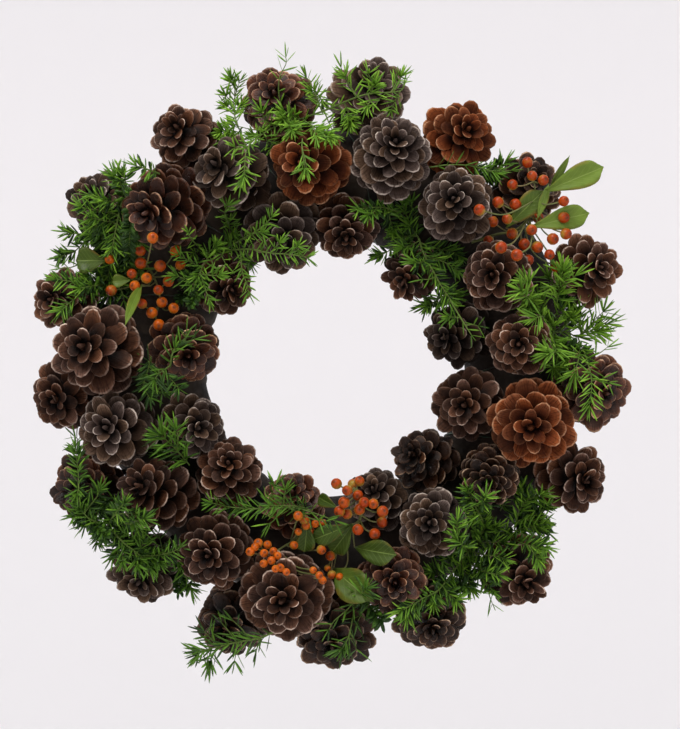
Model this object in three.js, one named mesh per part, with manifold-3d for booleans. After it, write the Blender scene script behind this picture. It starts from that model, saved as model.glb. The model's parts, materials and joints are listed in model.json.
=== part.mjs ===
// A pinecone wreath: open pine cones wired in three rows on a half-round fibre ring, with sprigs of
// fern-like greenery and sprigs of orange berries tucked over them, and a wire loop to hang it by.
//
// Millimetres. +Z is up, the front faces -Y and the back is flat and rests on a wall. The origin is
// the point inside the hanging loop that bears on a nail.

import * as THREE from 'three';
import { mergeVertices } from 'three/addons/utils/BufferGeometryUtils.js';
import Module from 'manifold-3d';

const wasm = await Module();
wasm.setup();

// --- Driving dimensions -------------------------------------------------------------------------

const GAP = 0.3; // between neighbouring pieces

const BACK_Y = 4; // flat back of the ring, behind the hanging point
const CENTRE_Z = -188; // wreath's centre, below the hanging point

const RING_RADIUS = 127; // to the middle of the ring's section
const RING_HALF_WIDTH = 38;
const RING_DEPTH = 32;
const RING_STEPS = 56;
const DOME_STEPS = 6;

const LOOP_WIRE_RADIUS = 1;
const LOOP_RADIUS = 6;
const LOOP_LEG_SPREAD = 2.2;
const LOOP_LEG_DEPTH = 6; // how far the legs' line runs into the ring before it is trimmed

const CONE_SIDES = 10;
const WIDEST_AT = 0.34; // of a cone's length, from its stalk end
const STALK_RADIUS = 2.4;
const STALK_SIDES = 5;

const STEM_SIDES = 5;
const STEM_STEP = 13; // length of one straight piece of a stem
const FOLIAGE_RADIUS = 3.4; // stem with the needles lying close along it
const RIM_Y = -26; // depth of a stem that has run out past the cones

const BERRY_RADIUS = 3.9;
const BERRY_SIDES = 6;
const TWIG_RADIUS = 1.1;
const PEDICEL_RADIUS = 0.9;
const PEDICEL_SIDES = 3;
const LEAF_THICKNESS = 1.4;
const TWIG_STAND_OFF = 5; // in front of the cones, as the next three are
const LEAF_STAND_OFF = 4;
const BERRY_STAND_OFF = 6;
const BERRY_Y = -60; // rough depth, to find the nearest point of the twig
const BERRY_STAGGER = 3; // each berry of three lies this much further out than the last

// --- Places -------------------------------------------------------------------------------------

// One row for each cone: where the middle of its widest scales lies, as a clock angle in degrees
// from the top and a distance from the wreath's centre, then its width, its length, how far it
// leans outwards and clockwise from straight ahead in degrees, how far its stalk stands off the
// ring, and its tone.
const MIDDLE_ROW = [
  [15, 143, 54, 52, 16, 0, 17, 'grey'],
  [37, 133, 51, 48, 0, -10, 16, 'grey'],
  [61, 123, 48, 46, -12, -8, 14, 'brown'],
  [83, 123, 46, 44, -8, 0, 16, 'brown'],
  [106, 134, 59, 52, -6, 6, 22, 'orange'],
  [125, 125, 41, 44, 0, 14, 13, 'dark'],
  [148, 121, 47, 46, -8, 4, 15, 'grey'],
  [165, 145, 47, 44, 0, -4, 17, 'red'],
  [192, 153, 61, 54, 4, 5, 22, 'brown'],
  [213, 144, 53, 48, 8, 6, 15, 'brown'],
  [234, 144, 50, 54, 10, 28, 15, 'brown'],
  [254, 149, 53, 48, 12, 8, 14, 'grey'],
  [274, 155, 62, 60, 16, 4, 20, 'brown'],
  [314, 153, 57, 60, 8, -26, 18, 'red'],
  [332, 143, 50, 54, 22, -16, 14, 'grey'],
  [353, 134, 53, 48, 0, -14, 16, 'orange'],
];
const INNER_ROW = [
  [4, 94, 46, 44, -24, 4, 8, 'brown'],
  [39, 84, 40, 42, -34, 0, 5, 'brown'],
  [75, 86, 44, 44, -30, 0, 6, 'grey'],
  [105, 93, 50, 46, -12, 6, 9, 'brown'],
  [136, 88, 45, 46, -30, 10, 7, 'dark'],
  [162, 94, 43, 44, -26, 3, 5, 'grey'],
  [197, 96, 44, 44, -24, 8, 6, 'red'],
  [225, 100, 46, 44, -16, 14, 9, 'brown'],
  [248, 103, 45, 42, -14, -10, 9, 'grey'],
  [277, 101, 49, 44, -12, -12, 8, 'red'],
  [306, 95, 43, 44, -26, 3, 5, 'brown'],
  [339, 97, 55, 50, -24, -5, 9, 'grey'],
];
const OUTER_ROW = [
  [7, 181, 55, 48, 20, 2, 6, 'grey'],
  [28, 174, 52, 46, 16, 10, 5, 'orange'],
  [47, 175, 47, 44, 20, 0, 4, 'dark'],
  [69, 179, 49, 46, 20, 4, 5, 'brown'],
  [95, 173, 54, 48, 16, 4, 5, 'red'],
  [115, 174, 51, 48, 20, -4, 4, 'brown'],
  [138, 183, 51, 46, 22, 6, 4, 'brown'],
  [159, 178, 51, 46, 20, 6, 4, 'dark'],
  [180, 177, 55, 48, 18, 4, 4, 'dark'],
  [202, 182, 51, 48, 20, 4, 3, 'dark'],
  [223, 184, 50, 46, 22, -6, 4, 'grey'],
  [244, 184, 50, 48, 22, 4, 4, 'red'],
  [264, 181, 50, 46, 16, -8, 3, 'brown'],
  [284, 185, 45, 44, 22, -6, 4, 'brown'],
  [305, 190, 47, 46, 24, -2, 4, 'grey'],
  [327, 183, 48, 46, 18, -4, 4, 'brown'],
  [348, 179, 52, 46, 16, -4, 5, 'red'],
];

// Each sprig is a main stem and its side stems, as points across and up from the wreath's centre.
// The stems lie on the cones in front of which they run.
const SPRIGS = {
  green_top: [
    [[43, 180], [14, 177], [-9, 169], [-24, 165], [-43, 156], [-55, 143], [-59, 120]],
    [[-33, 204], [-36, 186], [-35, 160]],
    [[-22, 166], [-17, 128]],
    [[-66, 195], [-68, 178], [-62, 140]],
  ],
  green_upper_right: [
    [[11, 116], [33, 101], [48, 88], [60, 72], [77, 43], [91, 22]],
    [[40, 97], [54, 120], [77, 133], [97, 137], [117, 136]],
    [[40, 95], [38, 76]],
    [[80, 133], [90, 145]],
  ],
  green_right: [
    [[127, 43], [149, 31], [164, 35], [187, 41]],
    [[151, 63], [149, 31]],
    [[142, 10], [149, 31]],
    [[164, 35], [166, 10], [167, -25]],
  ],
  green_lower_right: [
    [[41, -157], [65, -147], [87, -129], [103, -113], [129, -105], [146, -109]],
    [[92, -83], [103, -113]],
    [[127, -86], [115, -110]],
    [[65, -147], [90, -155], [106, -167]],
    [[70, -104], [87, -129]],
  ],
  green_bottom: [
    [[7, -157], [11, -174], [-14, -183], [-41, -176], [-63, -182], [-87, -188], [-103, -190]],
    [[11, -174], [25, -187]],
    [[-70, -184], [-80, -197]],
  ],
  green_lower_left: [
    [[-169, -62], [-169, -82], [-157, -101], [-145, -109], [-122, -122], [-103, -129]],
    [[-157, -101], [-166, -117]],
    [[-145, -109], [-131, -96]],
    [[-122, -122], [-127, -137]],
  ],
  green_inner_bottom: [
    [[-80, -89], [-60, -94], [-37, -94], [-13, -91]],
    [[-37, -94], [-25, -80]],
  ],
  green_left: [
    [[-84, 27], [-107, 11], [-120, -8], [-117, -30], [-109, -49], [-97, -54]],
    [[-107, 11], [-92, -4]],
    [[-109, -49], [-123, -59]],
  ],
  green_upper_left: [
    [[-129, 134], [-139, 123], [-149, 108], [-157, 85], [-173, 78], [-188, 73]],
    [[-157, 85], [-163, 52], [-180, 36]],
    [[-149, 95], [-131, 88]],
  ],
  green_inner_top: [
    [[-78, 116], [-70, 104], [-91, 85], [-93, 70], [-85, 42]],
    [[-91, 85], [-63, 79], [-37, 73], [-14, 71]],
    [[-67, 80], [-57, 48]],
  ],
};

// Berry sprigs: a twig, the berries that hang from it, and leaves as base, tip and width. Points
// are across and up from the wreath's centre.
const BERRY_SPRIGS = {
  berries_left: {
    twig: [[-150, 88], [-134, 76], [-124, 64], [-118, 48], [-121, 34]],
    berries: [
      [-117, 83], [-106, 77], [-129, 77], [-151, 72], [-129, 69], [-116, 67], [-103, 68], [-135, 62],
      [-125, 59], [-111, 57], [-133, 54], [-117, 51], [-149, 51], [-115, 43], [-107, 39], [-122, 36],
      [-117, 28], [-128, 42],
    ],
    leaves: [
      [[-153, 72], [-174, 71], 18],
      [[-136, 58], [-149, 57], 9],
      [[-129, 55], [-135, 26], 7],
      [[-132, 74], [-147, 87], 7],
    ],
  },
  berries_right: {
    twig: [[92, 84], [108, 89], [122, 92], [132, 106], [131, 122]],
    berries: [
      [127, 135], [129, 125], [136, 122], [117, 120], [107, 108], [119, 107], [93, 101], [135, 99],
      [149, 108], [150, 98], [104, 96], [113, 97], [117, 88], [129, 90], [151, 87], [102, 84],
      [143, 84], [107, 77], [125, 81], [133, 79], [117, 72], [128, 71], [141, 74], [146, 66],
    ],
    leaves: [
      [[139, 116], [177, 133], 20],
      [[134, 92], [167, 102], 15],
      [[135, 101], [143, 119], 6],
    ],
  },
  berries_bottom: {
    twig: [[14, -80], [18, -94], [10, -110], [-8, -112], [-26, -115], [-40, -122]],
    berries: [
      [1, -76], [16, -75], [8, -80], [15, -84], [6, -88], [16, -93], [8, -96], [25, -89], [31, -94],
      [31, -102], [26, -109], [15, -106], [-25, -98], [-26, -107], [-17, -103], [-10, -104],
      [-19, -111], [-27, -119], [-9, -117], [-3, -124], [-50, -115], [-55, -122], [-43, -115],
      [-35, -120], [-42, -123], [-46, -129], [-37, -129], [-31, -135], [-11, -134], [-8, -141],
      [0, -138],
    ],
    leaves: [
      [[-16, -114], [10, -102], 9],
      [[-6, -119], [12, -104], 9],
      [[14, -120], [39, -117], 13],
      [[-4, -134], [24, -141], 22],
    ],
  },
};

// --- Solids -------------------------------------------------------------------------------------

// A three.js geometry as a manifold solid with its faces pointing out.
function toSolid(geometry) {
  const bare = geometry.clone();
  bare.deleteAttribute('normal');
  bare.deleteAttribute('uv');
  const merged = mergeVertices(bare, 1e-4);
  const index = merged.index.array;
  const corners = [];
  for (let i = 0; i < index.length; i += 3) {
    const [a, b, c] = [index[i], index[i + 1], index[i + 2]];
    if (a !== b && b !== c && c !== a) corners.push(a, b, c);
  }
  const build = (triangles) => new wasm.Manifold(new wasm.Mesh({
    numProp: 3,
    vertProperties: new Float32Array(merged.attributes.position.array),
    triVerts: new Uint32Array(triangles),
  }));
  const solid = build(corners);
  return solid.volume() > 0 ? solid : build(corners.toReversed());
}

function toGeometry(solid) {
  const mesh = solid.getMesh();
  const geometry = new THREE.BufferGeometry();
  geometry.setAttribute('position', new THREE.BufferAttribute(mesh.vertProperties, 3));
  geometry.setIndex(new THREE.BufferAttribute(mesh.triVerts, 1));
  return geometry;
}

// What is left of a solid in one piece once its neighbours' clearance is cut away.
function largestBody(solid) {
  return solid.decompose().reduce((a, b) => (a.volume() > b.volume() ? a : b));
}

function union(solids) {
  return solids.reduce((sum, next) => sum.add(next));
}

function turnedProfile(points, sides) {
  return new THREE.LatheGeometry(points.map(([r, y]) => new THREE.Vector2(r, y)), sides);
}

function tube(points, radius, sides = STEM_SIDES, step = STEM_STEP) {
  const path = new THREE.CatmullRomCurve3(points);
  const corners = Array.from({ length: sides }, (_, i) => {
    const angle = (2 * Math.PI * i) / sides;
    return new THREE.Vector2(radius * Math.cos(angle), radius * Math.sin(angle));
  });
  const steps = Math.max(1, Math.round(path.getLength() / step));
  const section = new THREE.Shape(corners);
  return toSolid(new THREE.ExtrudeGeometry(section, { steps, extrudePath: path }));
}

// --- Ring and hanging loop ----------------------------------------------------------------------

// How far the ring's domed front stands off its flat back, at a distance from the centre.
function ringDepthAt(distance) {
  const across = Math.min(1, Math.abs(distance - RING_RADIUS) / RING_HALF_WIDTH);
  return RING_DEPTH * Math.sqrt(1 - across * across);
}

function ringSolid(grow = 0) {
  const dome = Array.from({ length: DOME_STEPS + 1 }, (_, i) => {
    const angle = (Math.PI * i) / DOME_STEPS;
    return [
      RING_RADIUS + (RING_HALF_WIDTH + grow) * Math.cos(angle),
      BACK_Y - (RING_DEPTH + grow) * Math.sin(angle),
    ];
  });
  const back = [[dome.at(-1)[0], BACK_Y + grow], [dome[0][0], BACK_Y + grow]];
  const outline = grow > 0 ? [...dome, ...back, dome[0]] : [...dome, dome[0]];
  const ring = turnedProfile(outline, RING_STEPS);
  return toSolid(ring.translate(0, 0, CENTRE_Z));
}

// A wire eye whose two legs run down to the ring's outer edge.
function loopSolid() {
  const eyeCentreZ = LOOP_WIRE_RADIUS - LOOP_RADIUS;
  const legBottomZ = CENTRE_Z + RING_RADIUS + RING_HALF_WIDTH - LOOP_LEG_DEPTH;
  const eye = Array.from({ length: 9 }, (_, i) => {
    const angle = THREE.MathUtils.degToRad(-60 + (300 * i) / 8);
    return new THREE.Vector3(LOOP_RADIUS * Math.cos(angle), 0, eyeCentreZ + LOOP_RADIUS * Math.sin(angle));
  });
  const legEnd = (side) => new THREE.Vector3(side * LOOP_LEG_SPREAD, 0, legBottomZ);
  return tube([legEnd(1), ...eye, legEnd(-1)], LOOP_WIRE_RADIUS, 8, 2.5);
}

// --- Cones --------------------------------------------------------------------------------------

function onWreath(clock, distance, y) {
  const angle = THREE.MathUtils.degToRad(clock);
  return new THREE.Vector3(distance * Math.sin(angle), y, CENTRE_Z + distance * Math.cos(angle));
}

// The way a cone points: straight ahead, then leaned outwards and clockwise.
function coneAxis(clock, leanOut, leanClockwise) {
  const outwards = onWreath(clock, 1, 0).sub(onWreath(clock, 0, 0));
  const clockwise = onWreath(clock + 90, 1, 0).sub(onWreath(clock, 0, 0));
  return new THREE.Vector3(0, -1, 0)
    .addScaledVector(outwards, Math.tan(THREE.MathUtils.degToRad(leanOut)))
    .addScaledVector(clockwise, Math.tan(THREE.MathUtils.degToRad(leanClockwise)))
    .normalize();
}

function coneSolid([clock, distance, width, length, leanOut, leanClockwise, standOff], grow = 0) {
  const axis = coneAxis(clock, leanOut, leanClockwise);
  const flat = onWreath(clock, distance, 0).addScaledVector(axis, -WIDEST_AT * length);
  const centre = onWreath(0, 0, 0);
  const baseDistance = Math.hypot(flat.x, flat.z - centre.z);
  const seatDistance = THREE.MathUtils.clamp(
    baseDistance,
    RING_RADIUS - RING_HALF_WIDTH + 5,
    RING_RADIUS + RING_HALF_WIDTH - 5,
  );
  const seat = flat.clone().sub(centre).setY(0).setLength(seatDistance).add(centre);
  seat.y = BACK_Y - ringDepthAt(seatDistance);
  const base = new THREE.Vector3(flat.x, seat.y - standOff, flat.z);

  const radius = width / 2 + grow;
  const outline = [
    [0, -grow],
    [0.42 * radius, -grow],
    [0.8 * radius, 0.1 * length - grow],
    [radius, WIDEST_AT * length],
    [0.93 * radius, 0.52 * length],
    [0.7 * radius, 0.74 * length + grow],
    [0.38 * radius, 0.92 * length + grow],
    [0, length + grow],
  ];
  const body = turnedProfile(outline, CONE_SIDES);
  body.applyQuaternion(new THREE.Quaternion().setFromUnitVectors(new THREE.Vector3(0, 1, 0), axis));
  body.translate(base.x, base.y, base.z);

  const stalkTop = base.clone().addScaledVector(axis, 0.2 * length);
  const stalkEnd = seat.clone().add(seat.clone().sub(stalkTop).setLength(STALK_RADIUS));
  const stalk = tube([stalkTop, stalkEnd], STALK_RADIUS + grow, STALK_SIDES, 1000);
  return toSolid(body).add(stalk);
}

// --- Stems that lie on the cones ----------------------------------------------------------------

const raycaster = new THREE.Raycaster();
const conesToLieOn = new THREE.Group();

// Depth of the frontmost cone surface behind a point of the wreath, or null past the cones.
function frontAt(x, z) {
  raycaster.set(new THREE.Vector3(x, -1000, z + CENTRE_Z), new THREE.Vector3(0, 1, 0));
  const [hit] = raycaster.intersectObject(conesToLieOn, true);
  return hit ? hit.point.y : null;
}

// A stem's route over the cones: it bridges the hollows between them, as a springy stem does.
function drape(route, standOff) {
  const flat = new THREE.CatmullRomCurve3(route.map(([x, z]) => new THREE.Vector3(x, 0, z)));
  const count = Math.max(3, Math.round(flat.getLength() / STEM_STEP) + 1);
  const points = flat.getSpacedPoints(count - 1);
  const depths = points.map((p) => (frontAt(p.x, p.z) ?? RIM_Y) - standOff);
  const near = (list, i) => list.slice(Math.max(0, i - 1), i + 2);
  const bridged = depths.map((_, i) => Math.min(...near(depths, i)));
  const smooth = bridged.map((_, i) => near(bridged, i).reduce((a, b) => a + b) / near(bridged, i).length);
  return points.map((p, i) => new THREE.Vector3(p.x, smooth[i], p.z + CENTRE_Z));
}

function sprigSolid(routes, grow = 0) {
  const [main, ...sides] = routes;
  const mainPoints = drape(main, FOLIAGE_RADIUS);
  const stems = sides.map((route) => {
    const points = drape(route, FOLIAGE_RADIUS);
    const gap = (end) => Math.min(...mainPoints.map((p) => p.distanceTo(end)));
    const atStart = gap(points[0]) < gap(points.at(-1));
    const end = atStart ? points[0] : points.at(-1);
    const joint = mainPoints.reduce((a, b) => (a.distanceTo(end) < b.distanceTo(end) ? a : b));
    return atStart ? [joint, ...points.slice(1)] : [...points.slice(0, -1), joint];
  });
  return union([mainPoints, ...stems].map((points) => tube(points, FOLIAGE_RADIUS + grow)));
}

// --- Berry sprigs -------------------------------------------------------------------------------

function berry(centre, grow) {
  return toSolid(new THREE.SphereGeometry(BERRY_RADIUS + grow, BERRY_SIDES, 4)
    .translate(centre.x, centre.y, centre.z));
}

// A flat leaf: widest a little past the middle, pointed at both ends.
function leaf(base, tip, width, grow) {
  const along = tip.clone().sub(base);
  const length = along.length();
  const half = width / 2 + grow;
  const outline = [
    [-grow, -1], [0.3 * length, -0.8 * half], [0.6 * length, -half], [0.85 * length, -0.6 * half],
    [length + grow, 0], [0.85 * length, 0.6 * half], [0.6 * length, half], [0.3 * length, 0.8 * half],
    [-grow, 1],
  ].map(([x, y]) => new THREE.Vector2(x, y));
  const depth = LEAF_THICKNESS + 2 * grow;
  const blade = new THREE.ExtrudeGeometry(new THREE.Shape(outline), { depth, bevelEnabled: false });
  blade.translate(0, 0, -depth / 2);
  const across = along.clone().normalize().cross(new THREE.Vector3(0, 1, 0)).normalize();
  const out = new THREE.Vector3().crossVectors(along.clone().normalize(), across);
  blade.applyMatrix4(new THREE.Matrix4().makeBasis(along.clone().normalize(), across, out));
  return toSolid(blade.translate(base.x, base.y, base.z));
}

// Berries and leaves stand off the cones, each on a short stalk from the nearest point of the twig.
function berrySolid({ twig, berries, leaves }, grow = 0) {
  const twigPoints = drape(twig, TWIG_STAND_OFF);
  const parts = [tube(twigPoints, TWIG_RADIUS + grow)];
  const nearestOnTwig = (p) => twigPoints.reduce((a, b) => (a.distanceTo(p) < b.distanceTo(p) ? a : b));
  const inFront = ([x, z], standOff) => {
    const place = new THREE.Vector3(x, BERRY_Y, z + CENTRE_Z);
    return place.setY((frontAt(x, z) ?? nearestOnTwig(place).y) - standOff);
  };
  const pedicel = (to) => {
    const from = nearestOnTwig(to);
    return tube([from, to], PEDICEL_RADIUS + grow, PEDICEL_SIDES, to.distanceTo(from));
  };
  for (const [i, place] of berries.entries()) {
    const centre = inFront(place, BERRY_STAND_OFF + BERRY_STAGGER * (i % 3));
    parts.push(berry(centre, grow), pedicel(centre));
  }
  for (const [from, to, width] of leaves) {
    const base = inFront(from, LEAF_STAND_OFF);
    const tip = inFront(to, LEAF_STAND_OFF);
    parts.push(leaf(base, tip, width, grow), pedicel(base));
  }
  return union(parts);
}

// --- The wreath ---------------------------------------------------------------------------------

const tapeBrown = new THREE.MeshStandardMaterial({ color: 0x3a2a1e, roughness: 0.9, metalness: 0 });
const wireSteel = new THREE.MeshStandardMaterial({ color: 0x8a8580, roughness: 0.4, metalness: 0.9 });
const coneTones = {
  brown: new THREE.MeshStandardMaterial({ color: 0x5e4130, roughness: 0.7, metalness: 0 }),
  dark: new THREE.MeshStandardMaterial({ color: 0x35261f, roughness: 0.5, metalness: 0 }),
  grey: new THREE.MeshStandardMaterial({ color: 0x6b5f59, roughness: 0.8, metalness: 0 }),
  red: new THREE.MeshStandardMaterial({ color: 0x5f3322, roughness: 0.55, metalness: 0 }),
  orange: new THREE.MeshStandardMaterial({ color: 0x7d4526, roughness: 0.75, metalness: 0 }),
};
const fernGreen = new THREE.MeshStandardMaterial({ color: 0x4f7d2a, roughness: 0.6, metalness: 0 });
const berryOrange = new THREE.MeshStandardMaterial({ color: 0xc8601c, roughness: 0.4, metalness: 0 });

const wreath = new THREE.Group();

function addPiece(name, solid, material, parent = wreath) {
  const mesh = new THREE.Mesh(toGeometry(solid), material);
  mesh.name = name;
  parent.add(mesh);
}

const ringClearance = ringSolid(GAP);
addPiece('base_ring', ringSolid(), tapeBrown);
addPiece('hanging_loop', largestBody(loopSolid().subtract(ringClearance)), wireSteel);

// The middle row stands in front, so its cones are whole; the rest nest against those before them.
let taken = ringClearance.add(loopSolid());
[...MIDDLE_ROW, ...INNER_ROW, ...OUTER_ROW].forEach((cone, i) => {
  const solid = largestBody(coneSolid(cone).subtract(taken));
  addPiece(`cone_${String(i + 1).padStart(2, '0')}`, solid, coneTones[cone.at(-1)], conesToLieOn);
  taken = taken.add(coneSolid(cone, GAP));
});
wreath.add(conesToLieOn);
conesToLieOn.updateMatrixWorld(true);

for (const [name, sprig] of Object.entries(BERRY_SPRIGS)) {
  addPiece(name, largestBody(berrySolid(sprig).subtract(taken)), berryOrange);
  taken = taken.add(berrySolid(sprig, GAP));
}
for (const [name, routes] of Object.entries(SPRIGS)) {
  addPiece(name, largestBody(sprigSolid(routes).subtract(taken)), fernGreen);
  taken = taken.add(sprigSolid(routes, GAP));
}

export default wreath;
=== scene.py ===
# A pinecone wreath: open cones wired in three rows on a taped ring, with fern and berry sprigs.
# Metres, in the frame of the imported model: the front faces -Y, +Z is up, the flat back lies at +Y.

import json
import math
import random

import bmesh
import bpy
from mathutils import Matrix, Vector
from mathutils.bvhtree import BVHTree


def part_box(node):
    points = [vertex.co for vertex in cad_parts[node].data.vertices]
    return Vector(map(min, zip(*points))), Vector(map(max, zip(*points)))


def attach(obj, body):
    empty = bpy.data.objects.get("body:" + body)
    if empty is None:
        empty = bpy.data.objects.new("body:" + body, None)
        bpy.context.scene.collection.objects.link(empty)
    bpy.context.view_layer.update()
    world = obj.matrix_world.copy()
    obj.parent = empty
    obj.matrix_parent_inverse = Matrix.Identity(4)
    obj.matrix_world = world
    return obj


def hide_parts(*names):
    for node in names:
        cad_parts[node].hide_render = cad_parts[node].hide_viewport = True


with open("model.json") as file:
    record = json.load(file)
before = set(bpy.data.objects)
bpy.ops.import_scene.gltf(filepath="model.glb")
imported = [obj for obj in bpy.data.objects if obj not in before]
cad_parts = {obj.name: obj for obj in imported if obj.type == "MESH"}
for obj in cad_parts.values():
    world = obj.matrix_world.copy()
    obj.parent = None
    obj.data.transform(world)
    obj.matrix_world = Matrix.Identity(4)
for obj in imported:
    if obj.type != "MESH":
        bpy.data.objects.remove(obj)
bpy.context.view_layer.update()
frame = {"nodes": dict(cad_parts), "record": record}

mm = 0.001
cadNodes = frame["nodes"]
ringLow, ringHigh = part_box("base_ring")
wreathCentre = (ringLow + ringHigh) / 2
wreathCentre.y = 0
backY = ringHigh.y
frontAxis = Vector((0, -1, 0))


# camera, room and light

cameraSetup = {
    "pixelsAcross": 680,
    "pixelsUp": 729,
    "pixelsPerMetre": 1500,     # at the depth below
    "sharpY": -0.045,           # depth at which the wreath is measured
    "distance": 1.25,
    "centrePixel": (335, 367),  # where the wreath's centre shows
    "sensor": 36,
}
roomSetup = {
    "radius": 3.4,
    "corner": 1.2,      # radius of the round corner between floor and wall
    "cornerSteps": 8,
    "floorBelow": 0.85,
    "height": 3.2,
    "steps": 64,
    "colour": (0.93, 0.91, 0.92),
    "rough": 0.9,
}
lightSetup = {
    "key": {"place": (-0.7, -1.4, 1.9), "size": 1.0, "watts": 52, "tint": (1.0, 0.98, 0.95)},
    "fill": {"place": (1.5, -1.5, 0.3), "size": 1.5, "watts": 10, "tint": (0.95, 0.97, 1.0)},
    "top": {"place": (0.1, -0.3, 1.9), "size": 1.0, "watts": 16, "tint": (1.0, 1.0, 1.0)},
}
skySetup = {"tint": (0.95, 0.97, 1.0), "strength": 0.5}


def aimAt(thing, target):
    thing.rotation_euler = (Vector(target) - thing.location).to_track_quat("-Z", "Y").to_euler()


def makeCamera():
    setup = cameraSetup
    camera = bpy.data.objects.new("camera", bpy.data.cameras.new("camera"))
    bpy.context.scene.collection.objects.link(camera)
    tall = setup["pixelsUp"] / setup["pixelsPerMetre"]
    camera.data.sensor_width = setup["sensor"]  # that wide along the frame's long side
    camera.data.lens = setup["sensor"] * setup["distance"] / tall
    offX = (setup["pixelsAcross"] / 2 - setup["centrePixel"][0]) / setup["pixelsPerMetre"]
    offZ = (setup["centrePixel"][1] - setup["pixelsUp"] / 2) / setup["pixelsPerMetre"]
    target = Vector((wreathCentre.x + offX, setup["sharpY"], wreathCentre.z + offZ))
    camera.location = target + frontAxis * setup["distance"]
    aimAt(camera, target)
    bpy.context.scene.camera = camera


def makeRoom():
    setup = roomSetup
    bm = bmesh.new()
    floorZ = wreathCentre.z - setup["floorBelow"]
    profile = [Vector((0, 0, floorZ)), Vector((setup["radius"] - setup["corner"], 0, floorZ))]
    for step in range(1, setup["cornerSteps"] + 1):
        angle = math.radians(90 * step / setup["cornerSteps"])
        x = setup["radius"] - setup["corner"] * (1 - math.sin(angle))
        profile.append(Vector((x, 0, floorZ + setup["corner"] * (1 - math.cos(angle)))))
    profile.append(Vector((setup["radius"], 0, floorZ + setup["height"])))
    verts = [bm.verts.new(point) for point in profile]
    edges = [bm.edges.new(pair) for pair in zip(verts, verts[1:])]
    bmesh.ops.spin(bm, geom=verts + edges, cent=(0, 0, 0), axis=(0, 0, 1), angle=math.tau,
                   steps=setup["steps"], use_merge=True)
    bmesh.ops.remove_doubles(bm, verts=bm.verts, dist=1e-5)
    bmesh.ops.recalc_face_normals(bm, faces=bm.faces)
    mesh = bpy.data.meshes.new("room")
    bm.to_mesh(mesh)
    bm.free()
    mesh.shade_smooth()
    room = bpy.data.objects.new("room", mesh)
    bpy.context.scene.collection.objects.link(room)
    plaster = bpy.data.materials.new("paleRoom")
    plaster.use_nodes = True
    shader = plaster.node_tree.nodes["Principled BSDF"]
    shader.inputs["Base Color"].default_value = (*setup["colour"], 1)
    shader.inputs["Roughness"].default_value = setup["rough"]
    mesh.materials.append(plaster)
    room.visible_shadow = False


def makeLights():
    world = bpy.data.worlds.new("sky")
    world.use_nodes = True
    background = world.node_tree.nodes["Background"]
    background.inputs["Color"].default_value = (*skySetup["tint"], 1)
    background.inputs["Strength"].default_value = skySetup["strength"]
    bpy.context.scene.world = world
    for name, setup in lightSetup.items():
        lamp = bpy.data.lights.new(name, "AREA")
        lamp.energy = setup["watts"]
        lamp.size = setup["size"]
        lamp.color = setup["tint"]
        light = bpy.data.objects.new(name, lamp)
        bpy.context.scene.collection.objects.link(light)
        light.location = Vector(setup["place"]) + wreathCentre
        aimAt(light, wreathCentre)


makeCamera()
makeRoom()
makeLights()
bpy.context.scene.view_settings.view_transform = "Standard"
print("camera, room and light ready")


# small helpers

def newMaterial(name):
    material = bpy.data.materials.new(name)
    material.use_nodes = True
    tree = material.node_tree
    return material, tree, tree.nodes["Principled BSDF"]


def addNode(tree, kind, **settings):
    node = tree.nodes.new(kind)
    for key, value in settings.items():
        setattr(node, key, value)
    return node


def mathNode(tree, operation, first, second=None):
    node = addNode(tree, "ShaderNodeMath", operation=operation)
    for socket, value in zip(node.inputs, (first, second)):
        if value is None:
            continue
        if isinstance(value, (int, float)):
            socket.default_value = value
        else:
            tree.links.new(value, socket)
    return node.outputs[0]


def multiply(tree, first, second):
    return mathNode(tree, "MULTIPLY", first, second)


def mixColour(tree, amount, first, second, blend="MIX"):
    node = addNode(tree, "ShaderNodeMix", data_type="RGBA", blend_type=blend)
    for index, value in ((0, amount), (6, first), (7, second)):
        if isinstance(value, (int, float)):
            node.inputs[index].default_value = value
        elif isinstance(value, tuple):
            node.inputs[index].default_value = (*value, 1)
        else:
            tree.links.new(value, node.inputs[index])
    return node.outputs[2]


def rangeNode(tree, value, low, high, toLow=0.0, toHigh=1.0):
    node = addNode(tree, "ShaderNodeMapRange", interpolation_type="SMOOTHSTEP")
    tree.links.new(value, node.inputs["Value"])
    for name, number in (("From Min", low), ("From Max", high), ("To Min", toLow), ("To Max", toHigh)):
        node.inputs[name].default_value = number
    return node.outputs["Result"]


def attributeOf(tree, name):
    return addNode(tree, "ShaderNodeAttribute", attribute_name=name).outputs["Fac"]


def noiseOf(tree, scale, detail):
    coordinates = addNode(tree, "ShaderNodeTexCoord")
    texture = addNode(tree, "ShaderNodeTexNoise")
    texture.inputs["Scale"].default_value = scale
    texture.inputs["Detail"].default_value = detail
    tree.links.new(coordinates.outputs["Object"], texture.inputs["Vector"])
    return texture.outputs["Fac"]


def bumpOf(tree, height, strength, distance):
    node = addNode(tree, "ShaderNodeBump")
    node.inputs["Strength"].default_value = strength
    node.inputs["Distance"].default_value = distance
    tree.links.new(height, node.inputs["Height"])
    return node.outputs["Normal"]


def finishShader(tree, shader, colour, roughness, normal, shine=0.5):
    for name, value in (("Base Color", colour), ("Roughness", roughness), ("Normal", normal)):
        tree.links.new(value, shader.inputs[name])
    shader.inputs["Specular IOR Level"].default_value = shine


marks = ("tone", "rim", "reach", "across")  # numbers on each vertex that the materials read


def newShape():
    bm = bmesh.new()
    for name in marks:
        bm.verts.layers.float.new(name)
    return bm


def mark(bm, verts, **values):
    for name, value in values.items():
        layer = bm.verts.layers.float[name]
        for vert in verts:
            vert[layer] = value


def asMesh(name, bm):
    mesh = bpy.data.meshes.new(name)
    bm.to_mesh(mesh)
    bm.free()
    mesh.shade_smooth()
    return mesh


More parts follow.
